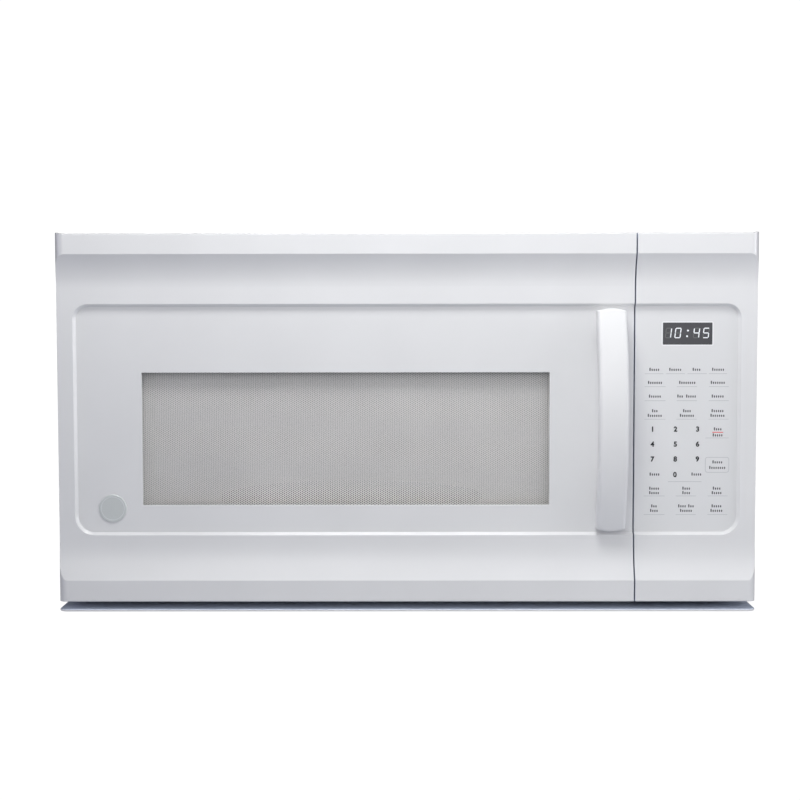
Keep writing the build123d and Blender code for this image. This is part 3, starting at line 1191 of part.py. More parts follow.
with BuildPart() as drive_coupler:
    rod_z(TABLE_X, TABLE_Y, (motor_top + MOVING_GAP, coupler_top), COUPLER_HUB)
    with BuildSketch(Plane.XY.offset(coupler_top - COUPLER_THICK)):
        with Locations((TABLE_X, TABLE_Y)):
            Circle(COUPLER_RADIUS / 2)
            with PolarLocations(COUPLER_RADIUS / 2, ROLLER_COUNT):
                SlotOverall(COUPLER_RADIUS, COUPLER_RADIUS / 2)
    extrude(amount=COUPLER_THICK)
    rod_z(TABLE_X, TABLE_Y, (motor_top, coupler_top - COUPLER_THICK / 2), SHAFT_RADIUS, mode=Mode.SUBTRACT)
drive_coupler.part.label = "drive_coupler"
export_step(drive_coupler.part, "parts/drive_coupler.step")

ring_outer = ROLLER_TRACK - ROLLER_WIDTH / 2 - RING_GAP
ring_inner = COUPLER_RADIUS + 2 * WALL
axle_end = ROLLER_TRACK + ROLLER_WIDTH / 2 + MOVING_GAP
roller_turns = [90 + number * 360 / ROLLER_COUNT for number in range(ROLLER_COUNT)]


def axle_plane(turn, reach):
    """Plane square to a roller's axle, at a distance out from the turntable's centre."""
    out = (cos(radians(turn)), sin(radians(turn)), 0)
    origin = (TABLE_X + reach * out[0], TABLE_Y + reach * out[1], axle_z)
    return Plane(origin=origin, x_dir=(0, 0, 1), z_dir=out)


with BuildPart() as roller_ring:
    with BuildSketch(Plane.XY.offset(axle_z - RING_BAND / 2)):
        with Locations((TABLE_X, TABLE_Y)):
            Circle(ring_outer)
            Circle(ring_outer - RING_BAND, mode=Mode.SUBTRACT)
            Circle(ring_inner + RING_BAND)
            Circle(ring_inner, mode=Mode.SUBTRACT)
            with PolarLocations((ring_outer + ring_inner) / 2, ROLLER_COUNT, start_angle=roller_turns[0]):
                Rectangle(ring_outer - ring_inner - RING_BAND, RING_BAND)
    extrude(amount=RING_BAND)
    for turn in roller_turns:
        with BuildSketch(axle_plane(turn, ring_outer - RING_BAND / 2)):
            Circle(AXLE_RADIUS)
        extrude(amount=axle_end + AXLE_HEAD - ring_outer + RING_BAND / 2)
        with BuildSketch(axle_plane(turn, axle_end)):
            Circle(AXLE_RADIUS + AXLE_HEAD)
        extrude(amount=AXLE_HEAD)
roller_ring.part.label = "roller_ring"
export_step(roller_ring.part, "parts/roller_ring.step")

for number, turn in enumerate(roller_turns, start=1):
    with BuildPart() as roller:
        with BuildSketch(axle_plane(turn, ROLLER_TRACK - ROLLER_WIDTH / 2)):
            Circle(ROLLER_RADIUS)
            Circle(AXLE_RADIUS + AXLE_RUNNING, mode=Mode.SUBTRACT)
        extrude(amount=ROLLER_WIDTH)
    roller.part.label = f"roller_{number}"
    export_step(roller.part, f"parts/roller_{number}.step")

with BuildPart() as glass_tray:
    with BuildSketch(Plane.XZ.offset(-TABLE_Y)):
        with BuildLine():
            Polyline((TABLE_X, tray_z + TRAY_THICK), (TABLE_X, tray_z), (TABLE_X + TRAY_FLAT, tray_z))
            rim = TABLE_X + TRAY_RADIUS
            rim_top = tray_z + TRAY_RISE + TRAY_THICK / 2
            TangentArc((TABLE_X + TRAY_FLAT, tray_z), (rim, tray_z + TRAY_RISE), tangent=(1, 0))
            Polyline((rim, tray_z + TRAY_RISE), (rim, rim_top), (rim - TRAY_THICK, rim_top))
            TangentArc(
                (TABLE_X + TRAY_FLAT - TRAY_THICK, tray_z + TRAY_THICK),
                (rim - TRAY_THICK, rim_top),
                tangent=(1, 0),
            )
            Line((TABLE_X + TRAY_FLAT - TRAY_THICK, tray_z + TRAY_THICK), (TABLE_X, tray_z + TRAY_THICK))
        make_face()
    revolve(axis=Axis((TABLE_X, TABLE_Y, tray_z), (0, 0, 1)))
    # three lugs underneath drop between the coupler's arms
    with BuildSketch(Plane.XY.offset(tray_z - COUPLER_THICK / 2)):
        with Locations((TABLE_X, TABLE_Y)):
            with PolarLocations(COUPLER_RADIUS - TRAY_LUG, ROLLER_COUNT, start_angle=180 / ROLLER_COUNT):
                Circle(TRAY_LUG)
    extrude(amount=COUPLER_THICK / 2 + TRAY_THICK / 2)
glass_tray.part.label = "glass_tray"
export_step(glass_tray.part, "parts/glass_tray.step")

# ------------------------------------------------------------------ lamps
lamp_half = 4 * PERFORATION_PITCH * 0.7
with BuildPart() as lamp_socket:
    socket_y = (cavity_lamp_y - lamp_half, cavity_lamp_y + lamp_half)
    socket_z = (cavity_lamp_z - lamp_half, cavity_lamp_z + lamp_half)
    slab((guide_x[0], guide_x[0] + lamp_half), socket_y, socket_z)
    slab(
        (guide_x[0], guide_x[0] + lamp_half - SHEET),
        (socket_y[0] + SHEET, socket_y[1] - SHEET),
        (socket_z[0] + SHEET, socket_z[1] - SHEET),
        mode=Mode.SUBTRACT,
    )
    lamp_x = guide_x[0] + lamp_half / 2
    rod_z(lamp_x, cavity_lamp_y, (socket_z[1] - SHEET, socket_z[1] + 3 * WALL), 2 * WALL)
lamp_socket.part.label = "lamp_socket"
export_step(lamp_socket.part, "parts/lamp_socket.step")

with BuildPart() as cavity_lamp:
    rod_z(lamp_x, cavity_lamp_y, (socket_z[0] + 3 * WALL, socket_z[1] - SHEET), 2 * WALL)
    chamfer(cavity_lamp.edges().group_by(Axis.Z)[0], WALL)
cavity_lamp.part.label = "cavity_lamp"
export_step(cavity_lamp.part, "parts/cavity_lamp.step")

housing_x = (-LAMP_COVER[0] / 2 - 2 * WALL, LAMP_COVER[0] / 2 + 2 * WALL)
housing_y = (lamp_y - LAMP_COVER[1] / 2 - 2 * WALL, lamp_y + LAMP_COVER[1] / 2 + 2 * WALL)
housing_z = (PAN_FLOOR, PAN_FLOOR + LAMP_HOUSING)
hinge_line = (lamp_y + LAMP_COVER[1] / 2 - LAMP_COVER[2], BOTTOM + LAMP_COVER[2])
with BuildPart() as surface_lamp_housing:
    slab(housing_x, housing_y, housing_z)
    slab(
        (housing_x[0] + SHEET, housing_x[1] - SHEET),
        (housing_y[0] + SHEET, housing_y[1] - SHEET),
        (housing_z[0], housing_z[1] - SHEET),
        mode=Mode.SUBTRACT,
    )
    # hinge rod for the cover
    rod_x((housing_x[0] + SHEET, housing_x[1] - SHEET), hinge_line[0], hinge_line[1], LAMP_HINGE)
surface_lamp_housing.part.label = "surface_lamp_housing"
export_step(surface_lamp_housing.part, "parts/surface_lamp_housing.step")

with BuildPart() as surface_lamps:
    for x_lamp in (-LAMP_SPACING / 2, LAMP_SPACING / 2):
        lamp_z = (housing_z[1] - SHEET - 6 * WALL - LAMP_RADIUS, housing_z[1] - SHEET)
        rod_z(x_lamp, lamp_y, lamp_z, LAMP_RADIUS)
    chamfer(surface_lamps.edges().group_by(Axis.Z)[0], LAMP_RADIUS / 2)
surface_lamps.part.label = "surface_lamps"
export_step(surface_lamps.part, "parts/surface_lamps.step")

with BuildPart() as surface_lamp_cover:
    with Locations((0, lamp_y, BOTTOM + LAMP_COVER[2] / 2)):
        Box(*LAMP_COVER)
    fillet(surface_lamp_cover.edges().filter_by(Axis.Z).group_by(Axis.Y)[0], 2 * WALL)
    barrel_x = (-LAMP_COVER[0] / 2, LAMP_COVER[0] / 2)
    rod_x(barrel_x, hinge_line[0], hinge_line[1], LAMP_COVER[2])
    rod_x(barrel_x, hinge_line[0], hinge_line[1], LAMP_HINGE + LAMP_HINGE_RUNNING, mode=Mode.SUBTRACT)
surface_lamp_cover.part.label = "surface_lamp_cover"
export_step(surface_lamp_cover.part, "parts/surface_lamp_cover.step")

# ------------------------------------------------------------------ filters and grille
for name, x_centre in filter_centres.items():
    with BuildPart() as grease_filter:
        with Locations((x_centre, -FILTER_FROM_WALL, BOTTOM + FILTER[2] / 2)):
            Box(*FILTER)
        fillet(grease_filter.edges().filter_by(Axis.Z), WALL)
        # mesh pad between two frame rims
        for z_side in (BOTTOM, BOTTOM + FILTER[2]):
            with Locations((x_centre, -FILTER_FROM_WALL, z_side)):
                Box(
                    FILTER[0] - 2 * FILTER_FRAME,
                    FILTER[1] - 2 * FILTER_FRAME,
                    FILTER[2] - FILTER_MESH,
                    mode=Mode.SUBTRACT,
                )
        # finger tab at the front edge
        tab_y = -FILTER_FROM_WALL - FILTER[1] / 2 + FILTER_FRAME
        slab(
            (x_centre - 4 * WALL, x_centre + 4 * WALL),
            (tab_y, tab_y + FILTER_FRAME),
            (BOTTOM, BOTTOM + SHEET),
        )
    grease_filter.part.label = f"grease_filter_{name}"
    export_step(grease_filter.part, f"parts/grease_filter_{name}.step")

with BuildPart() as top_vent_grille:
    grille_y = (Y_FACE, Y_GRILLE - SHEET_FIT)
    slab((-INSIDE, INSIDE), grille_y, (GRILLE_BOTTOM, CASE_TOP))
    slab(
        (-INSIDE + GRILLE_PLATE, INSIDE - GRILLE_PLATE),
        (grille_y[0] + GRILLE_PLATE, grille_y[1] - GRILLE_PLATE),
        (GRILLE_BOTTOM, CASE_TOP - GRILLE_PLATE),
        mode=Mode.SUBTRACT,
    )
    louvres = int((2 * INSIDE - 2 * GRILLE_END) / LOUVRE_PITCH)
    with BuildSketch(Plane.XY.offset(CASE_TOP)):
        with Locations((0, (grille_y[0] + grille_y[1]) / 2)):
            with GridLocations(LOUVRE_PITCH, 1, louvres, 1):
                Rectangle(LOUVRE_WIDTH, GRILLE_DEPTH - 2 * LOUVRE_MARGIN)
    extrude(amount=-GRILLE_PLATE, mode=Mode.SUBTRACT)
top_vent_grille.part.label = "top_vent_grille"
export_step(top_vent_grille.part, "parts/top_vent_grille.step")

with BuildPart() as charcoal_filter:
    with Locations((0, (Y_FACE + Y_GRILLE) / 2, GRILLE_BOTTOM - CHARCOAL[2] / 2)):
        Box(*CHARCOAL)
    fillet(charcoal_filter.edges().filter_by(Axis.Z), WALL)
charcoal_filter.part.label = "charcoal_filter"
export_step(charcoal_filter.part, "parts/charcoal_filter.step")

# ------------------------------------------------------------------ hinges
def hinge(tongue_z, pin_z, plate_z):
    """Bracket on the face plate whose tongue carries the pin that the door turns on."""
    with BuildPart() as bracket:
        with BuildSketch(Plane.XY.offset(tongue_z[0])):
            with Locations((HINGE_X, HINGE_Y)):
                Circle(HINGE_TONGUE_WIDTH / 2)
            with Locations((HINGE_X, (HINGE_Y + Y_FACE) / 2)):
                Rectangle(HINGE_TONGUE_WIDTH, Y_FACE - HINGE_Y)
        extrude(amount=tongue_z[1] - tongue_z[0])
        rod_z(HINGE_X, HINGE_Y, pin_z, HINGE_PIN)
        slab((HINGE_X, HINGE_X + HINGE_PLATE_WIDTH), (Y_FACE - HINGE_PLATE, Y_FACE), plate_z)
    return bracket.part


upper_tongue = (POCKET_FLOOR + HINGE_CLEARANCE, POCKET_FLOOR + HINGE_CLEARANCE + HINGE_TONGUE)
lower_tongue = (FRONT_BOTTOM - HINGE_CLEARANCE - HINGE_TONGUE, FRONT_BOTTOM - HINGE_CLEARANCE)
with BuildPart() as upper_hinge:
    upper_pin = (POCKET_FLOOR - 3 * WALL, upper_tongue[1])
    add(hinge(upper_tongue, upper_pin, (upper_tongue[1] - HINGE_PLATE_HEIGHT, upper_tongue[1])))
upper_hinge.part.label = "upper_hinge"
export_step(upper_hinge.part, "parts/upper_hinge.step")

with BuildPart() as lower_hinge:
    lower_pin = (lower_tongue[0], FRONT_BOTTOM + 3 * WALL)
    add(hinge(lower_tongue, lower_pin, (lower_tongue[0], lower_tongue[0] + HINGE_PLATE_HEIGHT)))
lower_hinge.part.label = "lower_hinge"
export_step(lower_hinge.part, "parts/lower_hinge.step")

# ------------------------------------------------------------------ door interlock
hook_tip = Y_FACE + LATCH_REACH
interlock_x = (LATCH_X + LATCH_WIDTH / 2 + WALL, LATCH_X + LATCH_WIDTH / 2 + 2 * WALL)
with BuildPart() as interlock_bracket:
    interlock_z = (hook_slot_z(hook_levels[1])[0] - 4 * WALL, hook_slot_z(hook_levels[0])[1] + 4 * WALL)
    slab(interlock_x, (Y_FACE + SHEET, hook_tip + SWITCH[1] + WALL), interlock_z)
    slab((interlock_x[0], interlock_x[1] + 2 * WALL), (Y_FACE + SHEET, Y_FACE + SHEET + WALL), interlock_z)
    for level in hook_levels:
        # ledge that the hook's tooth drops behind
        ledge_top = hook_slot_z(level)[0]
        slab(
            (LATCH_X - LATCH_WIDTH, interlock_x[1]),
            (Y_FACE + SHEET, Y_FACE + LATCH_REACH / 2),
            (ledge_top - WALL, ledge_top),
        )
interlock_bracket.part.label = "interlock_bracket"
export_step(interlock_bracket.part, "parts/interlock_bracket.step")

with BuildPart() as interlock_switches:
    switch_levels = (hook_levels[0], hook_levels[0] - 1.5 * SWITCH[2], hook_levels[1])
    for level in switch_levels:
        slab(
            (interlock_x[0] - SWITCH[0], interlock_x[0]),
            (hook_tip + WALL / 2, hook_tip + WALL / 2 + SWITCH[1]),
            (level - SWITCH[2] / 2, level + SWITCH[2] / 2),
        )
interlock_switches.part.label = "interlock_switches"
export_step(interlock_switches.part, "parts/interlock_switches.step")

# ------------------------------------------------------------------ small fittings of the case
with BuildPart() as power_cord_bushing:
    rod_z(cord_x, -CORD_FROM_WALL, (CASE_TOP - 2 * WALL, CASE_TOP), CORD_HOLE)
    rod_z(cord_x, -CORD_FROM_WALL, (CASE_TOP, CASE_TOP + WALL / 2), BUSHING_FLANGE)
    rod_z(cord_x, -CORD_FROM_WALL, (CASE_TOP - 3 * WALL, TOP), CORD_BORE, mode=Mode.SUBTRACT)
power_cord_bushing.part.label = "power_cord_bushing"
export_step(power_cord_bushing.part, "parts/power_cord_bushing.step")

with BuildPart() as case_screws:
    for side in (-1, 1):
        for y_screw, z_screw in case_screw_places:
            rod_x(blower_span(side, CASE_HALF - SHEET, CASE_HALF), y_screw, z_screw, CASE_SCREW)
            rod_x(blower_span(side, CASE_HALF, CASE_HALF + CASE_SCREW), y_screw, z_screw, CASE_SCREW_HEAD)
case_screws.part.label = "case_screws"
export_step(case_screws.part, "parts/case_screws.step")
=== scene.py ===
import json
import math

import bmesh
import bpy
from mathutils import Matrix, Vector


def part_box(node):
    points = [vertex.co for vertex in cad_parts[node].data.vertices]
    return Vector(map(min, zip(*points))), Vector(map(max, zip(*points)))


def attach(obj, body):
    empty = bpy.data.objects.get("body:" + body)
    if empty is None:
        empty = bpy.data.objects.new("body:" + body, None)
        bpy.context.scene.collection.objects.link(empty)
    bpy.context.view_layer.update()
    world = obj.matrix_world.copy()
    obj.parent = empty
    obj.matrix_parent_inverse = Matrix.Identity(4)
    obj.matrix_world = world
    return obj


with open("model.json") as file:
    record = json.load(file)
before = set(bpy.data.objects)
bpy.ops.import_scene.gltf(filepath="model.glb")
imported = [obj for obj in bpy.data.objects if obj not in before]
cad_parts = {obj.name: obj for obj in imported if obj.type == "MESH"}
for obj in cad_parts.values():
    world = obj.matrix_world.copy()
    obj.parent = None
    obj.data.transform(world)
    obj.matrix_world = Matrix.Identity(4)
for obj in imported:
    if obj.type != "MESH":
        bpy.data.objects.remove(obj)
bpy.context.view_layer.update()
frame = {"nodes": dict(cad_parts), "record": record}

MM = 0.001
scene = bpy.context.scene
scene.view_settings.view_transform = "Standard"


# ------------------------------------------------------------------ materials
# Every finish by its name; a CAD node takes the one that is called after its material slot
finishes = {}


class Finish:
    """A procedural material: a principled shader with nodes added one by one."""

    def __init__(self, name, metallic=0.0, roughness=0.5, coat=0.0, coat_roughness=0.1):
        finishes[name] = self
        self.material = bpy.data.materials.new(name)
        self.material.use_nodes = True
        self.tree = self.material.node_tree
        self.tree.nodes.clear()
        self.output = self.tree.nodes.new("ShaderNodeOutputMaterial")
        self.shader = self.tree.nodes.new("ShaderNodeBsdfPrincipled")
        self.shader.inputs["Metallic"].default_value = metallic
        self.shader.inputs["Roughness"].default_value = roughness
        self.shader.inputs["Coat Weight"].default_value = coat
        self.shader.inputs["Coat Roughness"].default_value = coat_roughness
        self.tree.links.new(self.shader.outputs["BSDF"], self.output.inputs["Surface"])
        self.place = self.tree.nodes.new("ShaderNodeTexCoord").outputs["Object"]

    def node(self, kind, settings=None, **inputs):
        """Adds a node; settings are its attributes, and inputs are values or sockets.

        An input is called by its name, or by its number, such as _0 for the first.
        """
        made = self.tree.nodes.new(kind)
        for key, value in (settings or {}).items():
            setattr(made, key, value)
        for key, value in inputs.items():
            socket = made.inputs[int(key[1:]) if key[0] == "_" else key.replace("_", " ")]
            if isinstance(value, bpy.types.NodeSocket):
                self.tree.links.new(value, socket)
            else:
                socket.default_value = value
        return made

    def squeezed(self, by):
        """Object coordinates, in which a noise becomes streaks across the axis that is squeezed most."""
        return self.node("ShaderNodeMapping", Vector=self.place, Scale=by).outputs["Vector"]

    def noise(self, grain, detail=2.0, place=None):
        """A noise whose patches are about grain metres across."""
        made = self.node("ShaderNodeTexNoise", Vector=place or self.place, Scale=1 / grain, Detail=detail)
        return made.outputs["Fac"]

    def colours(self, factor, low, high, start=0.35, stop=0.65):
        """A blend from the colour low to the colour high while the factor goes from start to stop."""
        ramp = self.node("ShaderNodeValToRGB", Fac=factor)
        ramp.color_ramp.elements[0].position = start
        ramp.color_ramp.elements[0].color = (*low, 1)
        ramp.color_ramp.elements[1].position = stop
        ramp.color_ramp.elements[1].color = (*high, 1)
        return ramp.outputs["Color"]

    def spread(self, factor, low, high):
        """A noise, which is mostly between 0.3 and 0.7, brought to between low and high."""
        ranged = self.node("ShaderNodeMapRange", Value=factor, From_Min=0.3, From_Max=0.7)
        ranged.inputs["To Min"].default_value = low
        ranged.inputs["To Max"].default_value = high
        return ranged.outputs["Result"]

    def maths(self, operation, first, second):
        """The outcome of one operation on two numbers."""
        return self.node("ShaderNodeMath", {"operation": operation}, _0=first, _1=second).outputs["Value"]

    def vector(self, operation, first, second):
        """The outcome of one operation on two vectors."""
        made = self.node("ShaderNodeVectorMath", {"operation": operation}, _0=first, _1=second)
        return made.outputs["Vector"]

    def mixed(self, share, first, second):
        """The first shader, with that share of the second in its place."""
        return self.node("ShaderNodeMixShader", _0=share, _1=first, _2=second).outputs["Shader"]

    def relief(self, height, depth, strength=1.0, edge=0.0):
        """Bumps of that depth in metres, over edges that look rounded by the radius edge."""
        bump = self.node("ShaderNodeBump", Height=height, Distance=depth, Strength=strength)
        if edge:
            soft = self.node("ShaderNodeBevel", {"samples": 6}, Radius=edge)
            self.tree.links.new(soft.outputs["Normal"], bump.inputs["Normal"])
        self.set("Normal", bump.outputs["Normal"])

    def set(self, name, socket):
        """Feeds one of the principled shader's inputs."""
        self.tree.links.new(socket, self.shader.inputs[name])

    def show(self, shader):
        """Shows another shader instead of the principled one."""
        self.tree.links.new(shader, self.output.inputs["Surface"])


def moulded(name, low, high, roughness, coat=0.0, ripple=0.006, depth=0.000004, edge=0.0):
    """Moulded plastic: faint cloudy colour, uneven gloss and a slow ripple."""
    finish = Finish(name, coat=coat, coat_roughness=roughness[0])
    cloud = finish.noise(0.09, detail=3.0)
    finish.set("Base Color", finish.colours(cloud, low, high))
    finish.set("Roughness", finish.spread(finish.noise(0.025), *roughness))
    finish.relief(finish.noise(ripple, detail=1.0), depth, edge=edge)
    return finish


def painted(name, low, high, roughness, grain=0.0012, depth=0.00003, edge=0.0004):
    """Baked paint on sheet metal, with a fine orange peel; coarser grains give mica and charcoal."""
    finish = Finish(name, coat=0.2, coat_roughness=0.25)
    finish.set("Base Color", finish.colours(finish.noise(0.12, detail=4.0), low, high))
    finish.set("Roughness", finish.spread(finish.noise(0.03), *roughness))
    finish.relief(finish.noise(grain), depth, strength=0.5, edge=edge)
    return finish


def rolled(name, low, high, roughness, squeeze=(1, 1, 14), grain=0.004, depth=0.00001, metallic=1.0):
    """Bare rolled or drawn metal with fine streaks across the axis that is squeezed."""
    finish = Finish(name, metallic=metallic)
    streak = finish.noise(grain, detail=6.0, place=finish.squeezed(squeeze))
    finish.set("Base Color", finish.colours(streak, low, high, start=0.3, stop=0.7))
    finish.set("Roughness", finish.spread(streak, *roughness))
    finish.relief(streak, depth, strength=0.6)
    return finish


CRYSTAL = 11 * MM


def spangled(name, low, high):
    """Galvanised sheet with its crystal spangle."""
    finish = Finish(name, metallic=0.85)
    cells = finish.node("ShaderNodeTexVoronoi", Vector=finish.place, Scale=1 / CRYSTAL)
    shade = finish.node("ShaderNodeSeparateColor", Color=cells.outputs["Color"]).outputs["Red"]
    finish.set("Base Color", finish.colours(shade, low, high, start=0.0, stop=1.0))
    gloss = finish.node("ShaderNodeMapRange", Value=shade, To_Min=0.34, To_Max=0.5)
    finish.set("Roughness", gloss.outputs["Result"])
    finish.relief(finish.noise(0.02, detail=4.0), 0.00004, strength=0.4)
    return finish


def clear(name, tint, gloss, tone=0.0):
    """Clear sheet: light goes straight through, apart from the tone and a shine at a glancing angle."""
    finish = Finish(name, roughness=0.05)
    finish.set("Base Color", finish.colours(finish.noise(0.05), tint, [min(1, c * 1.02) for c in tint]))
    finish.set("Roughness", finish.spread(finish.noise(0.03), *gloss))
    shade = finish.colours(finish.noise(0.06), tint, [c * 0.985 for c in tint])
    through = finish.node("ShaderNodeBsdfTransparent", Color=shade)
    # Seen from inside the sheet, the Fresnel node would shut all slanting light in
    outside = finish.maths("SUBTRACT", 1.0, finish.node("ShaderNodeNewGeometry").outputs["Backfacing"])
    edge = finish.maths("MULTIPLY", finish.node("ShaderNodeFresnel", IOR=1.45).outputs["Fac"], outside)
    share = finish.maths("ADD", edge, tone)
    finish.show(finish.mixed(share, through.outputs["BSDF"], finish.shader.outputs["BSDF"]))
    return finish


# The door screen's holes: from column to column, from hole to hole in a column, and the radius
MESH_COLUMNS = 1.95 * MM
MESH_ROWS = 2.25 * MM
MESH_HOLE = 0.66 * MM


def lattice(finish, shift):
    """Distance to the nearest hole of one of the two grids that make up the staggered mesh."""
    period = Vector((2 * MESH_COLUMNS, 1.0, MESH_ROWS))
    flat = finish.vector("MULTIPLY", finish.place, (1, 0, 1))
    moved = finish.vector("ADD", flat, shift)
    cell = finish.vector("SNAP", finish.vector("ADD", moved, period / 2), period)
    away = finish.vector("SUBTRACT", moved, cell)
    return finish.node("ShaderNodeVectorMath", {"operation": "LENGTH"}, _0=away).outputs["Value"]


def between(finish, value, least, most):
    """One where the value lies between the two limits, and nought elsewhere."""
    above = finish.maths("GREATER_THAN", value, least)
    return finish.maths("MULTIPLY", above, finish.maths("LESS_THAN", value, most))


def perforated(name, low, high, window):
    """Enamelled sheet, pierced with small round holes over the window."""
    finish = painted(name, low, high, (0.35, 0.5))
    staggered = (MESH_COLUMNS, 0, MESH_ROWS / 2)
    near = finish.maths("MINIMUM", lattice(finish, (0, 0, 0)), lattice(finish, staggered))
    hole = finish.maths("LESS_THAN", near, MESH_HOLE)
    parts = finish.node("ShaderNodeSeparateXYZ", Vector=finish.place)
    for axis, (low_end, high_end) in zip("XZ", window):
        hole = finish.maths("MULTIPLY", hole, between(finish, parts.outputs[axis], low_end, high_end))
    finish.set("Alpha", finish.maths("SUBTRACT", 1.0, hole))
    return finish


def tinted(finish, tint, axis, least, most, source="Object"):
    """Gives a finish another colour where one coordinate lies between two values; here it paints bluish
    shade.
    """
    coordinate = finish.node("ShaderNodeTexCoord").outputs[source]
    value = finish.node("ShaderNodeSeparateXYZ", Vector=coordinate).outputs[axis]
    inside = between(finish, value, least, most)
    plain = finish.shader.inputs["Base Color"].links[0].from_socket
    # Of the mix node's many sockets, inputs 6 and 7 and output 2 are the ones for colours
    mix = finish.node("ShaderNodeMix", {"data_type": "RGBA"}, _0=inside, _6=plain, _7=(*tint, 1))
    finish.set("Base Color", mix.outputs[2])


# The holes stop short of the pane's edges
MESH_MARGIN = 6 * MM
pane_low, pane_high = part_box("window_pane")
MESH_WINDOW = (
    (pane_low.x + MESH_MARGIN, pane_high.x - MESH_MARGIN),
    (pane_low.z + MESH_MARGIN, pane_high.z - MESH_MARGIN),
)

# The white of the moulded door, panel and handle, as its darkest and lightest shade
WHITE = ((0.770, 0.773, 0.780), (0.790, 0.793, 0.800))
# How the plain disc on the door and the ring at its edge are brushed
DISC_METAL = {"squeeze": (1, 1, 6), "grain": 0.002, "metallic": 0.25}

moulding = moulded("white_moulding", *WHITE, (0.20, 0.26), coat=0.35, edge=0.0008)
moulded("white_handle", *WHITE, (0.34, 0.40), ripple=0.03, depth=0.000002)
moulded("keypad_film", (0.745, 0.749, 0.757), (0.757, 0.761, 0.769), (0.30, 0.38), coat=0.2)
moulded("display_lens", (0.085, 0.085, 0.092), (0.105, 0.105, 0.112), (0.10, 0.16), coat=0.4)
moulded("dark_fitting", (0.030, 0.031, 0.034), (0.045, 0.046, 0.050), (0.45, 0.6), depth=0.00003)
moulded("white_fitting", (0.70, 0.70, 0.68), (0.76, 0.76, 0.74), (0.35, 0.5), depth=0.00002)
moulded("roller_plastic", (0.72, 0.72, 0.70), (0.78, 0.78, 0.76), (0.3, 0.42), depth=0.00001)
moulded("black_fitting", (0.018, 0.018, 0.018), (0.034, 0.034, 0.034), (0.6, 0.8), depth=0.00004)
moulded("circuit_board", (0.030, 0.13, 0.055), (0.050, 0.19, 0.085), (0.35, 0.5), depth=0.00003)
painted("painted_case", (0.755, 0.758, 0.765), (0.780, 0.783, 0.790), (0.34, 0.46))
pan_paint = painted("painted_pan", (0.760, 0.763, 0.770), (0.785, 0.788, 0.795), (0.30, 0.42))
painted("painted_grille", (0.750, 0.753, 0.760), (0.775, 0.778, 0.785), (0.34, 0.46))
painted("cavity_enamel", (0.650, 0.656, 0.652), (0.668, 0.674, 0.670), (0.34, 0.38), depth=0.00001)
perforated("screen_enamel", (0.845, 0.832, 0.822), (0.875, 0.862, 0.852), MESH_WINDOW)

# Painted bluish shade: the two faces in the joint between door and control panel are tinted bluer, and so
# are the pan's upward faces, which are those with a normal whose Z lies within UPWARD, for the bluish shade
# in the joint and under the door
SHADE_TINT_SKIN = 0.2 * MM
UPWARD = (0.5, 1.1)
joint = (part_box("door_frame")[1].x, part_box("control_panel")[0].x)
# Painted bluish shade in the joint between door and control panel
tinted(moulding, (0.73, 0.77, 0.86), "X", joint[0] - SHADE_TINT_SKIN, joint[1] + SHADE_TINT_SKIN)
# Painted bluish shade on the pan's upward faces, which lie in shade under the door
tinted(pan_paint, (0.70, 0.76, 0.89), "Z", *UPWARD, "Normal")

spangled("galvanised_sheet", (0.44, 0.46, 0.48), (0.60, 0.62, 0.64))
rolled("plated_steel", (0.52, 0.53, 0.54), (0.66, 0.67, 0.68), (0.28, 0.42))
rolled("screw_steel", (0.50, 0.51, 0.52), (0.68, 0.69, 0.70), (0.25, 0.4), squeeze=(1, 1, 1), grain=0.002)
rolled("tube_steel", (0.50, 0.51, 0.53), (0.64, 0.65, 0.67), (0.3, 0.45))
rolled("spring_steel", (0.46, 0.47, 0.49), (0.62, 0.63, 0.65), (0.25, 0.35), squeeze=(1, 1, 8), grain=0.002)
rolled(
    "core_steel", (0.12, 0.125, 0.135), (0.20, 0.205, 0.215), (0.45, 0.6),
    squeeze=(1, 1, 30), grain=0.01, depth=0.00005,
)
rolled(
    "copper_winding", (0.50, 0.22, 0.10), (0.72, 0.36, 0.18), (0.3, 0.45),
    squeeze=(1, 1, 40), grain=0.02, depth=0.0002,
)
rolled("capacitor_can", (0.56, 0.57, 0.58), (0.70, 0.71, 0.72), (0.28, 0.4))
rolled("badge_metal", (0.65, 0.68, 0.675), (0.71, 0.74, 0.735), (0.35, 0.45), **DISC_METAL)
rolled(
    "filter_mesh", (0.52, 0.53, 0.54), (0.70, 0.71, 0.72), (0.3, 0.5),
    squeeze=(1, 1, 1), grain=0.0015, depth=0.0005,
)
painted("mica_sheet", (0.52, 0.45, 0.33), (0.64, 0.57, 0.43), (0.3, 0.5), grain=0.004)
painted("charcoal_bed", (0.010, 0.010, 0.011), (0.045, 0.045, 0.048), (0.8, 0.95), grain=0.004, depth=0.002)
clear("lamp_glass", (0.94, 0.94, 0.90), (0.02, 0.05), tone=0.1)
clear("clear_pane", (0.995, 0.995, 0.992), (0.02, 0.04))
clear("clear_film", (0.94, 0.95, 0.95), (0.06, 0.12))
clear("tray_glass", (0.86, 0.92, 0.92), (0.03, 0.06), tone=0.06)
moulded("lens_plastic", (0.80, 0.80, 0.78), (0.86, 0.86, 0.84), (0.35, 0.5), ripple=0.004, depth=0.0001)

for part in frame["record"]["subparts"]:
    for place in frame["nodes"][part["node"]].material_slots:
        place.material = finishes[part["material_slot"]].material


# ------------------------------------------------------------------ printed marks on the controls
def ink(name, low, high, glow=0.0):
    """A printed mark, or a lit one where it has a glow."""
    finish = moulded(name, low, high, (0.4, 0.5), ripple=0.001, depth=0.000002)
    if glow:
        finish.set("Emission Color", finish.colours(finish.noise(0.003), high, low))
        finish.shader.inputs["Emission Strength"].default_value = glow
    return finish


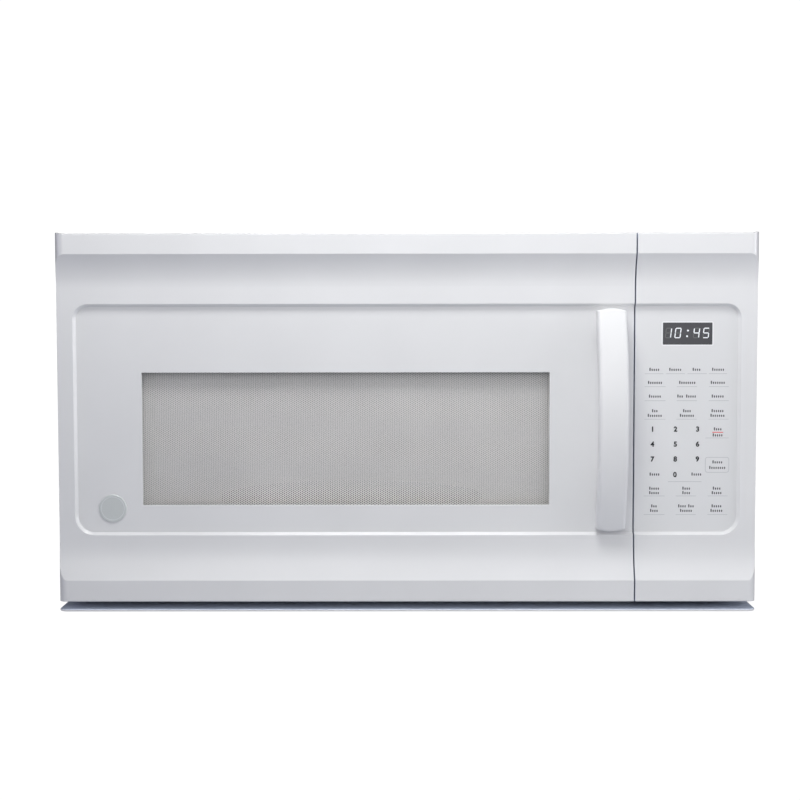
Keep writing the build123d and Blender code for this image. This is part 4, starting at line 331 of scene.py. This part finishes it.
def piece(name, shapes, front, thick, finish, body="cabinet"):
    """Flat outlines in the X-Z plane, in millimetres, raised by thick from the surface at depth front."""
    made = bmesh.new()
    for shape in shapes:
        back, top = (
            [made.verts.new((x * MM, depth * MM, z * MM)) for x, z in shape]
            for depth in (front, front - thick)
        )
        made.faces.new(back)
        made.faces.new(top)
        for n in range(len(shape)):
            made.faces.new((back[n - 1], back[n], top[n], top[n - 1]))
    bmesh.ops.recalc_face_normals(made, faces=made.faces)
    mesh = bpy.data.meshes.new(name)
    made.to_mesh(mesh)
    made.free()
    thing = bpy.data.objects.new(name, mesh)
    scene.collection.objects.link(thing)
    mesh.materials.append(finish.material)
    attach(thing, body)


def around(x, z, radius, turn):
    """The point of a circle at that turn, in degrees."""
    return x + radius * math.cos(math.radians(turn)), z + radius * math.sin(math.radians(turn))


def circle(x, z, radius, count):
    """A circle as so many points."""
    return [around(x, z, radius, 360 / count * n) for n in range(count)]


def band(inner, outer):
    """The strip between two closed outlines, as short quads."""
    count = len(outer)
    return [(inner[n], outer[n], outer[(n + 1) % count], inner[(n + 1) % count]) for n in range(count)]


def capsule(x0, x1, z, height):
    """Outline of a short bar with round ends."""
    half = height / 2
    return [
        around(centre, z, half, start + 30 * step)
        for centre, start in ((x1 - half, -90), (x0 + half, 90))
        for step in range(7)
    ]


# A stroke's height, pitch and width, and how much taller the first stroke of a word is
STROKE_HEIGHT = 2.6
STROKE_PITCH = 2.3
STROKE_WIDTH = 1.4
CAPITAL = 1.4


def strokes(x, z, count):
    """A centred row of upright strokes with blunt ends that stands for a word; the first is taller."""
    start = x - STROKE_PITCH * (count - 1) / 2
    foot = z - STROKE_HEIGHT / 2
    half = STROKE_WIDTH / 2
    row = []
    for n in range(count):
        tall = STROKE_HEIGHT * (CAPITAL if n == 0 else 1.0)
        across = start + n * STROKE_PITCH
        low, high = foot + half, foot + tall - half
        ends = ((low, range(-180, 1, 45)), (high, range(0, 181, 45)))
        row.append([around(across, middle, half, turn) for middle, turns in ends for turn in turns])
    return row


# In millimetres: the depth of the keypad's surface, how far ink stands out, and the columns' middles
KEYS = -371.0
INK = 0.03
LEFT, MIDDLE, RIGHT = 269.8, 304.8, 338.0

# Each word's middle, and how many strokes it has
words = []
for x, z, count in (
    (268.9, 58.3, 5), (291.6, 58.3, 6), (314.7, 58.3, 4), (338.1, 58.3, 6),
    (LEFT, 44.1, 7), (MIDDLE, 44.1, 8), (RIGHT, 44.1, 7),
    (LEFT, 29.2, 6), (MIDDLE - 7.6, 29.2, 3), (MIDDLE + 4.2, 29.2, 5), (RIGHT, 29.2, 6),
    (LEFT, 13.3, 3), (LEFT, 8.2, 7), (MIDDLE, 13.3, 4), (MIDDLE, 8.2, 7),
    (RIGHT, 13.3, 6), (RIGHT, 8.2, 7),
    (RIGHT + 0.4, -6.6, 4), (RIGHT + 0.4, -13.2, 5),
    (RIGHT + 0.4, -42.7, 5), (RIGHT + 0.4, -48.8, 8),
    (LEFT + 0.3, -56.0, 5), (315.7, -56.0, 5),
    (LEFT, -71.5, 5), (LEFT, -76.4, 5), (MIDDLE, -71.5, 4), (MIDDLE, -76.4, 4),
    (RIGHT, -71.5, 4), (RIGHT, -76.4, 5),
    (LEFT, -90.9, 3), (LEFT, -95.9, 4), (MIDDLE - 4.4, -90.9, 4), (MIDDLE + 5.4, -90.9, 3),
    (MIDDLE, -95.9, 6), (RIGHT, -90.9, 5), (RIGHT, -95.9, 6),
):
    words += strokes(x, z, count)
grey_ink = ink("grey_ink", (0.085, 0.085, 0.095), (0.115, 0.115, 0.125))
piece("key_marks", words, KEYS, INK, grey_ink)

# The ends and the height of the thin bar under each key's words
RULE_WIDTH = 0.5
rules = []
for x0, x1, z in (
    (258.6, 279.0, 54.1), (281.5, 302.5, 54.1), (304.9, 326.0, 54.1), (328.3, 348.0, 54.1),
    (258.6, 281.5, 40.0), (293.5, 315.6, 40.0), (328.3, 350.1, 40.0),
    (258.6, 281.5, 24.7), (293.5, 315.6, 24.7), (328.3, 350.1, 24.7),
    (258.6, 281.5, 4.5), (293.5, 315.6, 4.5), (328.3, 350.1, 4.5),
    (325.1, 350.5, -16.0), (284.7, 321.5, -63.8),
    (258.6, 281.5, -79.5), (293.5, 315.6, -79.5), (328.3, 350.1, -79.5),
    (258.6, 281.5, -99.9), (293.5, 315.6, -99.9), (328.3, 350.1, -99.9),
):
    rules.append(capsule(x0, x1, z, RULE_WIDTH))
rule_ink = ink("rule_ink", (0.50, 0.51, 0.53), (0.55, 0.56, 0.58))
piece("key_rules", rules, KEYS, INK, rule_ink)

stop_ink = ink("stop_ink", (0.72, 0.16, 0.17), (0.80, 0.22, 0.22))
piece("stop_rule", [capsule(332.4, 344.6, -9.9, height=1.1)], KEYS, INK, stop_ink)


def box_outline(x0, x1, z0, z1, radius, width):
    """A thin frame with rounded corners, half of its width on each side of the outline."""
    def loop(grow):
        corners = (
            (x1 - radius, z1 - radius, 0),
            (x0 + radius, z1 - radius, 90),
            (x0 + radius, z0 + radius, 180),
            (x1 - radius, z0 + radius, 270),
        )
        return [
            around(x, z, radius + grow, start + 18 * step)
            for x, z, start in corners
            for step in range(6)
        ]

    return band(loop(-width / 2), loop(width / 2))


start_box = box_outline(325.4, 351.0, -53.6, -37.2, radius=2.4, width=0.6)
piece("start_key_frame", start_box, KEYS, INK, rule_ink)

# The numbers on the keys: their size, how much bolder they are drawn, and the radius of their edge
NUMBER_SIZE = 7.5
NUMBER_WEIGHT = 0.16
NUMBER_EDGE = 0.15
number_ink = ink("number_ink", (0.012, 0.012, 0.014), (0.022, 0.022, 0.024))
for figure, x, z in (
    ("1", 267.6, -6.6), ("2", 292.6, -6.6), ("3", 316.7, -6.6),
    ("4", 267.6, -23.0), ("5", 292.6, -23.0), ("6", 316.7, -23.0),
    ("7", 267.6, -39.3), ("8", 292.6, -39.3), ("9", 316.7, -39.3),
    ("0", 292.4, -56.3),
):
    curve = bpy.data.curves.new("number_" + figure, "FONT")
    curve.body = figure
    curve.size = NUMBER_SIZE * MM
    curve.offset = NUMBER_WEIGHT * MM
    curve.bevel_depth = NUMBER_EDGE * MM
    curve.extrude = INK / 2 * MM
    curve.align_x = "CENTER"
    curve.align_y = "CENTER"
    curve.materials.append(number_ink.material)
    number = bpy.data.objects.new("number_" + figure, curve)
    number.location = (x * MM, (KEYS - INK / 2) * MM, z * MM)
    number.rotation_euler = (math.pi / 2, 0, 0)
    scene.collection.objects.link(number)
    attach(number, "cabinet")

# ------------------------------------------------------------------ clock
# In millimetres: the depth of the display's surface, a figure's width, height and stroke, its lean to the
# right for each millimetre of height, the height of its foot, the radius of the colon's dots, and how far
# the lit and unlit strokes stand out
LENS = -370.8
DIGIT_WIDTH = 6.8
DIGIT_HEIGHT = 11.4
STROKE = 1.1
SLANT = 0.12
CLOCK_FOOT = 92.6
COLON_DOT = 1.05
LIT_RELIEF = 0.04
UNLIT_RELIEF = 0.02


def segment(name, left):
    """Outline of one of the seven strokes of a clock figure, leaning to the right."""
    w, h, s = DIGIT_WIDTH, DIGIT_HEIGHT, STROKE / 2
    ends = {
        "a": ((s, h - s), (w - s, h - s)),
        "g": ((s, h / 2), (w - s, h / 2)),
        "d": ((s, s), (w - s, s)),
        "f": ((s, h / 2), (s, h - s)),
        "b": ((w - s, h / 2), (w - s, h - s)),
        "e": ((s, s), (s, h / 2)),
        "c": ((w - s, s), (w - s, h / 2)),
    }[name]
    (x0, z0), (x1, z1) = ends
    gap = 0.12 * STROKE
    if z0 == z1:
        shape = [
            (x0 + gap, z0), (x0 + s, z0 - s), (x1 - s, z0 - s),
            (x1 - gap, z0), (x1 - s, z0 + s), (x0 + s, z0 + s),
        ]
    else:
        shape = [
            (x0, z0 + gap), (x0 + s, z0 + s), (x0 + s, z1 - s),
            (x0, z1 - gap), (x0 - s, z1 - s), (x0 - s, z0 + s),
        ]
    return [(left + x + SLANT * z, CLOCK_FOOT + z) for x, z in shape]


figures = {"0": "abcdef", "1": "bc", "4": "bcfg", "5": "acdfg"}
lit, unlit = [], []
for figure, left in zip("1045", (279.9, 290.2, 310.3, 320.7)):
    for name in "abcdefg":
        (lit if name in figures[figure] else unlit).append(segment(name, left))
lit += [circle(x, z, COLON_DOT, 12) for x, z in ((305.1, 100.9), (304.2, 94.8))]
lit_ink = ink("clock_lit", (0.66, 0.68, 0.70), (0.74, 0.76, 0.78), glow=0.35)
piece("clock_figures", lit, LENS, LIT_RELIEF, lit_ink)
unlit_ink = ink("clock_unlit", (0.105, 0.110, 0.108), (0.125, 0.130, 0.128))
piece("clock_unlit_strokes", unlit, LENS, UNLIT_RELIEF, unlit_ink)

# The pale line round the display: how far outside the display its middle is, its corners and its width
RIM_GAP = 0.7
RIM_RADIUS = 1.0
RIM_WIDTH = 1.3
lens_low, lens_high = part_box("display_window")
rim = box_outline(
    lens_low.x / MM - RIM_GAP, lens_high.x / MM + RIM_GAP,
    lens_low.z / MM - RIM_GAP, lens_high.z / MM + RIM_GAP,
    RIM_RADIUS, RIM_WIDTH,
)
rim_ink = ink("clock_rim_ink", (0.84, 0.85, 0.86), (0.88, 0.89, 0.90))
piece("clock_rim", rim, KEYS, INK, rim_ink)

# ------------------------------------------------------------------ plain disc on the door
# Radii of the bright ring at the disc's edge, and how far it stands out
RING_OUTER = 12.9
RING_INNER = 12.3
RING_RELIEF = 0.08
disc_low, disc_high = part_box("badge_disc")
DISC_X = (disc_low.x + disc_high.x) / 2 / MM
DISC_Z = (disc_low.z + disc_high.z) / 2 / MM
disc_ring = band(circle(DISC_X, DISC_Z, RING_INNER, 72), circle(DISC_X, DISC_Z, RING_OUTER, 72))
ring_metal = rolled("ring_metal", (0.80, 0.83, 0.84), (0.86, 0.89, 0.90), (0.3, 0.4), **DISC_METAL)
piece("disc_ring", disc_ring, disc_low.y / MM, RING_RELIEF, ring_metal, "door")

# ------------------------------------------------------------------ camera
# Its place in metres, its turn, downward tilt and roll in degrees, and its lens in millimetres
CAMERA_PLACE = (0.0012, -2.0702, 0.1321)
CAMERA_TURN = 0.289
CAMERA_TILT = 3.580
CAMERA_ROLL = -0.083
CAMERA_LENS = 70.38
camera = bpy.data.objects.new("camera", bpy.data.cameras.new("camera"))
camera.data.sensor_width = 36
camera.data.lens = CAMERA_LENS
camera.data.clip_end = 50
camera.matrix_world = (
    Matrix.Translation(CAMERA_PLACE)
    @ Matrix.Rotation(math.radians(CAMERA_TURN), 4, "Z")
    @ Matrix.Rotation(math.radians(90 - CAMERA_TILT), 4, "X")
    @ Matrix.Rotation(math.radians(CAMERA_ROLL), 4, "Z")
)
scene.collection.objects.link(camera)
scene.camera = camera


# ------------------------------------------------------------------ floor, sky and lights
# The middle of the object's front, and the strength at which what stands behind it is pure white
FRONT = (0, -0.38, 0)
WHITE_STRENGTH = 1.05


def area_light(name, place, target, size, power, colour, spread=180):
    """A rectangular light in watts; spread is the widest angle of its beam, in degrees."""
    data = bpy.data.lights.new(name, "AREA")
    data.shape = "RECTANGLE"
    data.size, data.size_y = size
    data.energy = power
    data.color = colour
    data.spread = math.radians(spread)
    lamp = bpy.data.objects.new(name, data)
    lamp.location = place
    lamp.rotation_euler = (Vector(target) - Vector(place)).to_track_quat("-Z", "Y").to_euler()
    scene.collection.objects.link(lamp)


area_light("overhead_light", (-0.02, -0.80, 0.95), FRONT, (0.5, 0.3), 7.27, (1.0, 1.0, 1.0))
area_light(
    "centre_light", (-0.25, -1.70, 0.50), (0.80, -0.38, 0.15), (1.0, 0.8), 1.30, (1.0, 0.99, 0.93), spread=90
)
area_light("broad_light", (0.50, -1.50, 0.70), FRONT, (2.2, 1.0), 7.40, (0.96, 0.965, 1.0))
area_light("right_light", (1.90, -0.95, 0.15), (-0.20, -0.38, 0), (0.8, 0.8), 8.10, (0.965, 0.945, 1.0))
area_light("left_light", (-1.70, -0.90, 0.25), FRONT, (1.0, 1.0), 3.8, (0.83, 0.79, 1.0))


def studio():
    """A dim grey light from all round, a little brighter from above, that is pure white to the eye."""
    world = bpy.data.worlds.new("studio")
    world.use_nodes = True
    tree = world.node_tree
    tree.nodes.clear()
    direction = tree.nodes.new("ShaderNodeTexCoord")
    parts = tree.nodes.new("ShaderNodeSeparateXYZ")
    height = tree.nodes.new("ShaderNodeMapRange")
    height.inputs["From Min"].default_value = -1.0
    sky = tree.nodes.new("ShaderNodeValToRGB")
    sky.color_ramp.elements[0].color = (0.080, 0.088, 0.094, 1)
    sky.color_ramp.elements[1].color = (0.094, 0.104, 0.108, 1)
    dim = tree.nodes.new("ShaderNodeBackground")
    white = tree.nodes.new("ShaderNodeBackground")
    white.inputs["Color"].default_value = (1, 1, 1, 1)
    white.inputs["Strength"].default_value = WHITE_STRENGTH
    rays = tree.nodes.new("ShaderNodeLightPath")
    mix = tree.nodes.new("ShaderNodeMixShader")
    out = tree.nodes.new("ShaderNodeOutputWorld")
    for source, target in (
        (direction.outputs["Generated"], parts.inputs["Vector"]),
        (parts.outputs["Z"], height.inputs["Value"]),
        (height.outputs["Result"], sky.inputs["Fac"]),
        (sky.outputs["Color"], dim.inputs["Color"]),
        (rays.outputs["Is Camera Ray"], mix.inputs["Fac"]),
        (dim.outputs["Background"], mix.inputs[1]),
        (white.outputs["Background"], mix.inputs[2]),
        (mix.outputs["Shader"], out.inputs["Surface"]),
    ):
        tree.links.new(source, target)
    return world


scene.world = studio()

# In metres, apart from the strength of the light that the floor gives
FLOOR_LEVEL = -0.75
FLOOR_REACH = 6
FLOOR_GLOW = 0.25


def floor_finish():
    """A floor that is pure white to the eye, pale and faintly glowing as a light, and gone from below."""
    finish = Finish("pale_floor", roughness=0.9)
    finish.set("Base Color", finish.colours(finish.noise(0.5), (0.50, 0.55, 0.64), (0.52, 0.57, 0.66)))
    finish.set("Emission Color", finish.colours(finish.noise(0.5), (0.98, 0.94, 0.94), (1.0, 0.96, 0.96)))
    finish.shader.inputs["Emission Strength"].default_value = FLOOR_GLOW
    white = finish.node("ShaderNodeEmission", Color=(1, 1, 1, 1), Strength=WHITE_STRENGTH)
    gone = finish.node("ShaderNodeBsdfTransparent")
    seen = finish.node("ShaderNodeLightPath").outputs["Is Camera Ray"]
    below = finish.node("ShaderNodeNewGeometry").outputs["Backfacing"]
    above = finish.mixed(seen, finish.shader.outputs["BSDF"], white.outputs["Emission"])
    finish.show(finish.mixed(below, above, gone.outputs["BSDF"]))
    return finish


ground = bmesh.new()
bmesh.ops.create_grid(ground, x_segments=2, y_segments=2, size=FLOOR_REACH)
ground_mesh = bpy.data.meshes.new("floor")
ground.to_mesh(ground_mesh)
ground.free()
floor = bpy.data.objects.new("floor", ground_mesh)
floor.location = (0, 0, FLOOR_LEVEL)
scene.collection.objects.link(floor)
ground_mesh.materials.append(floor_finish().material)
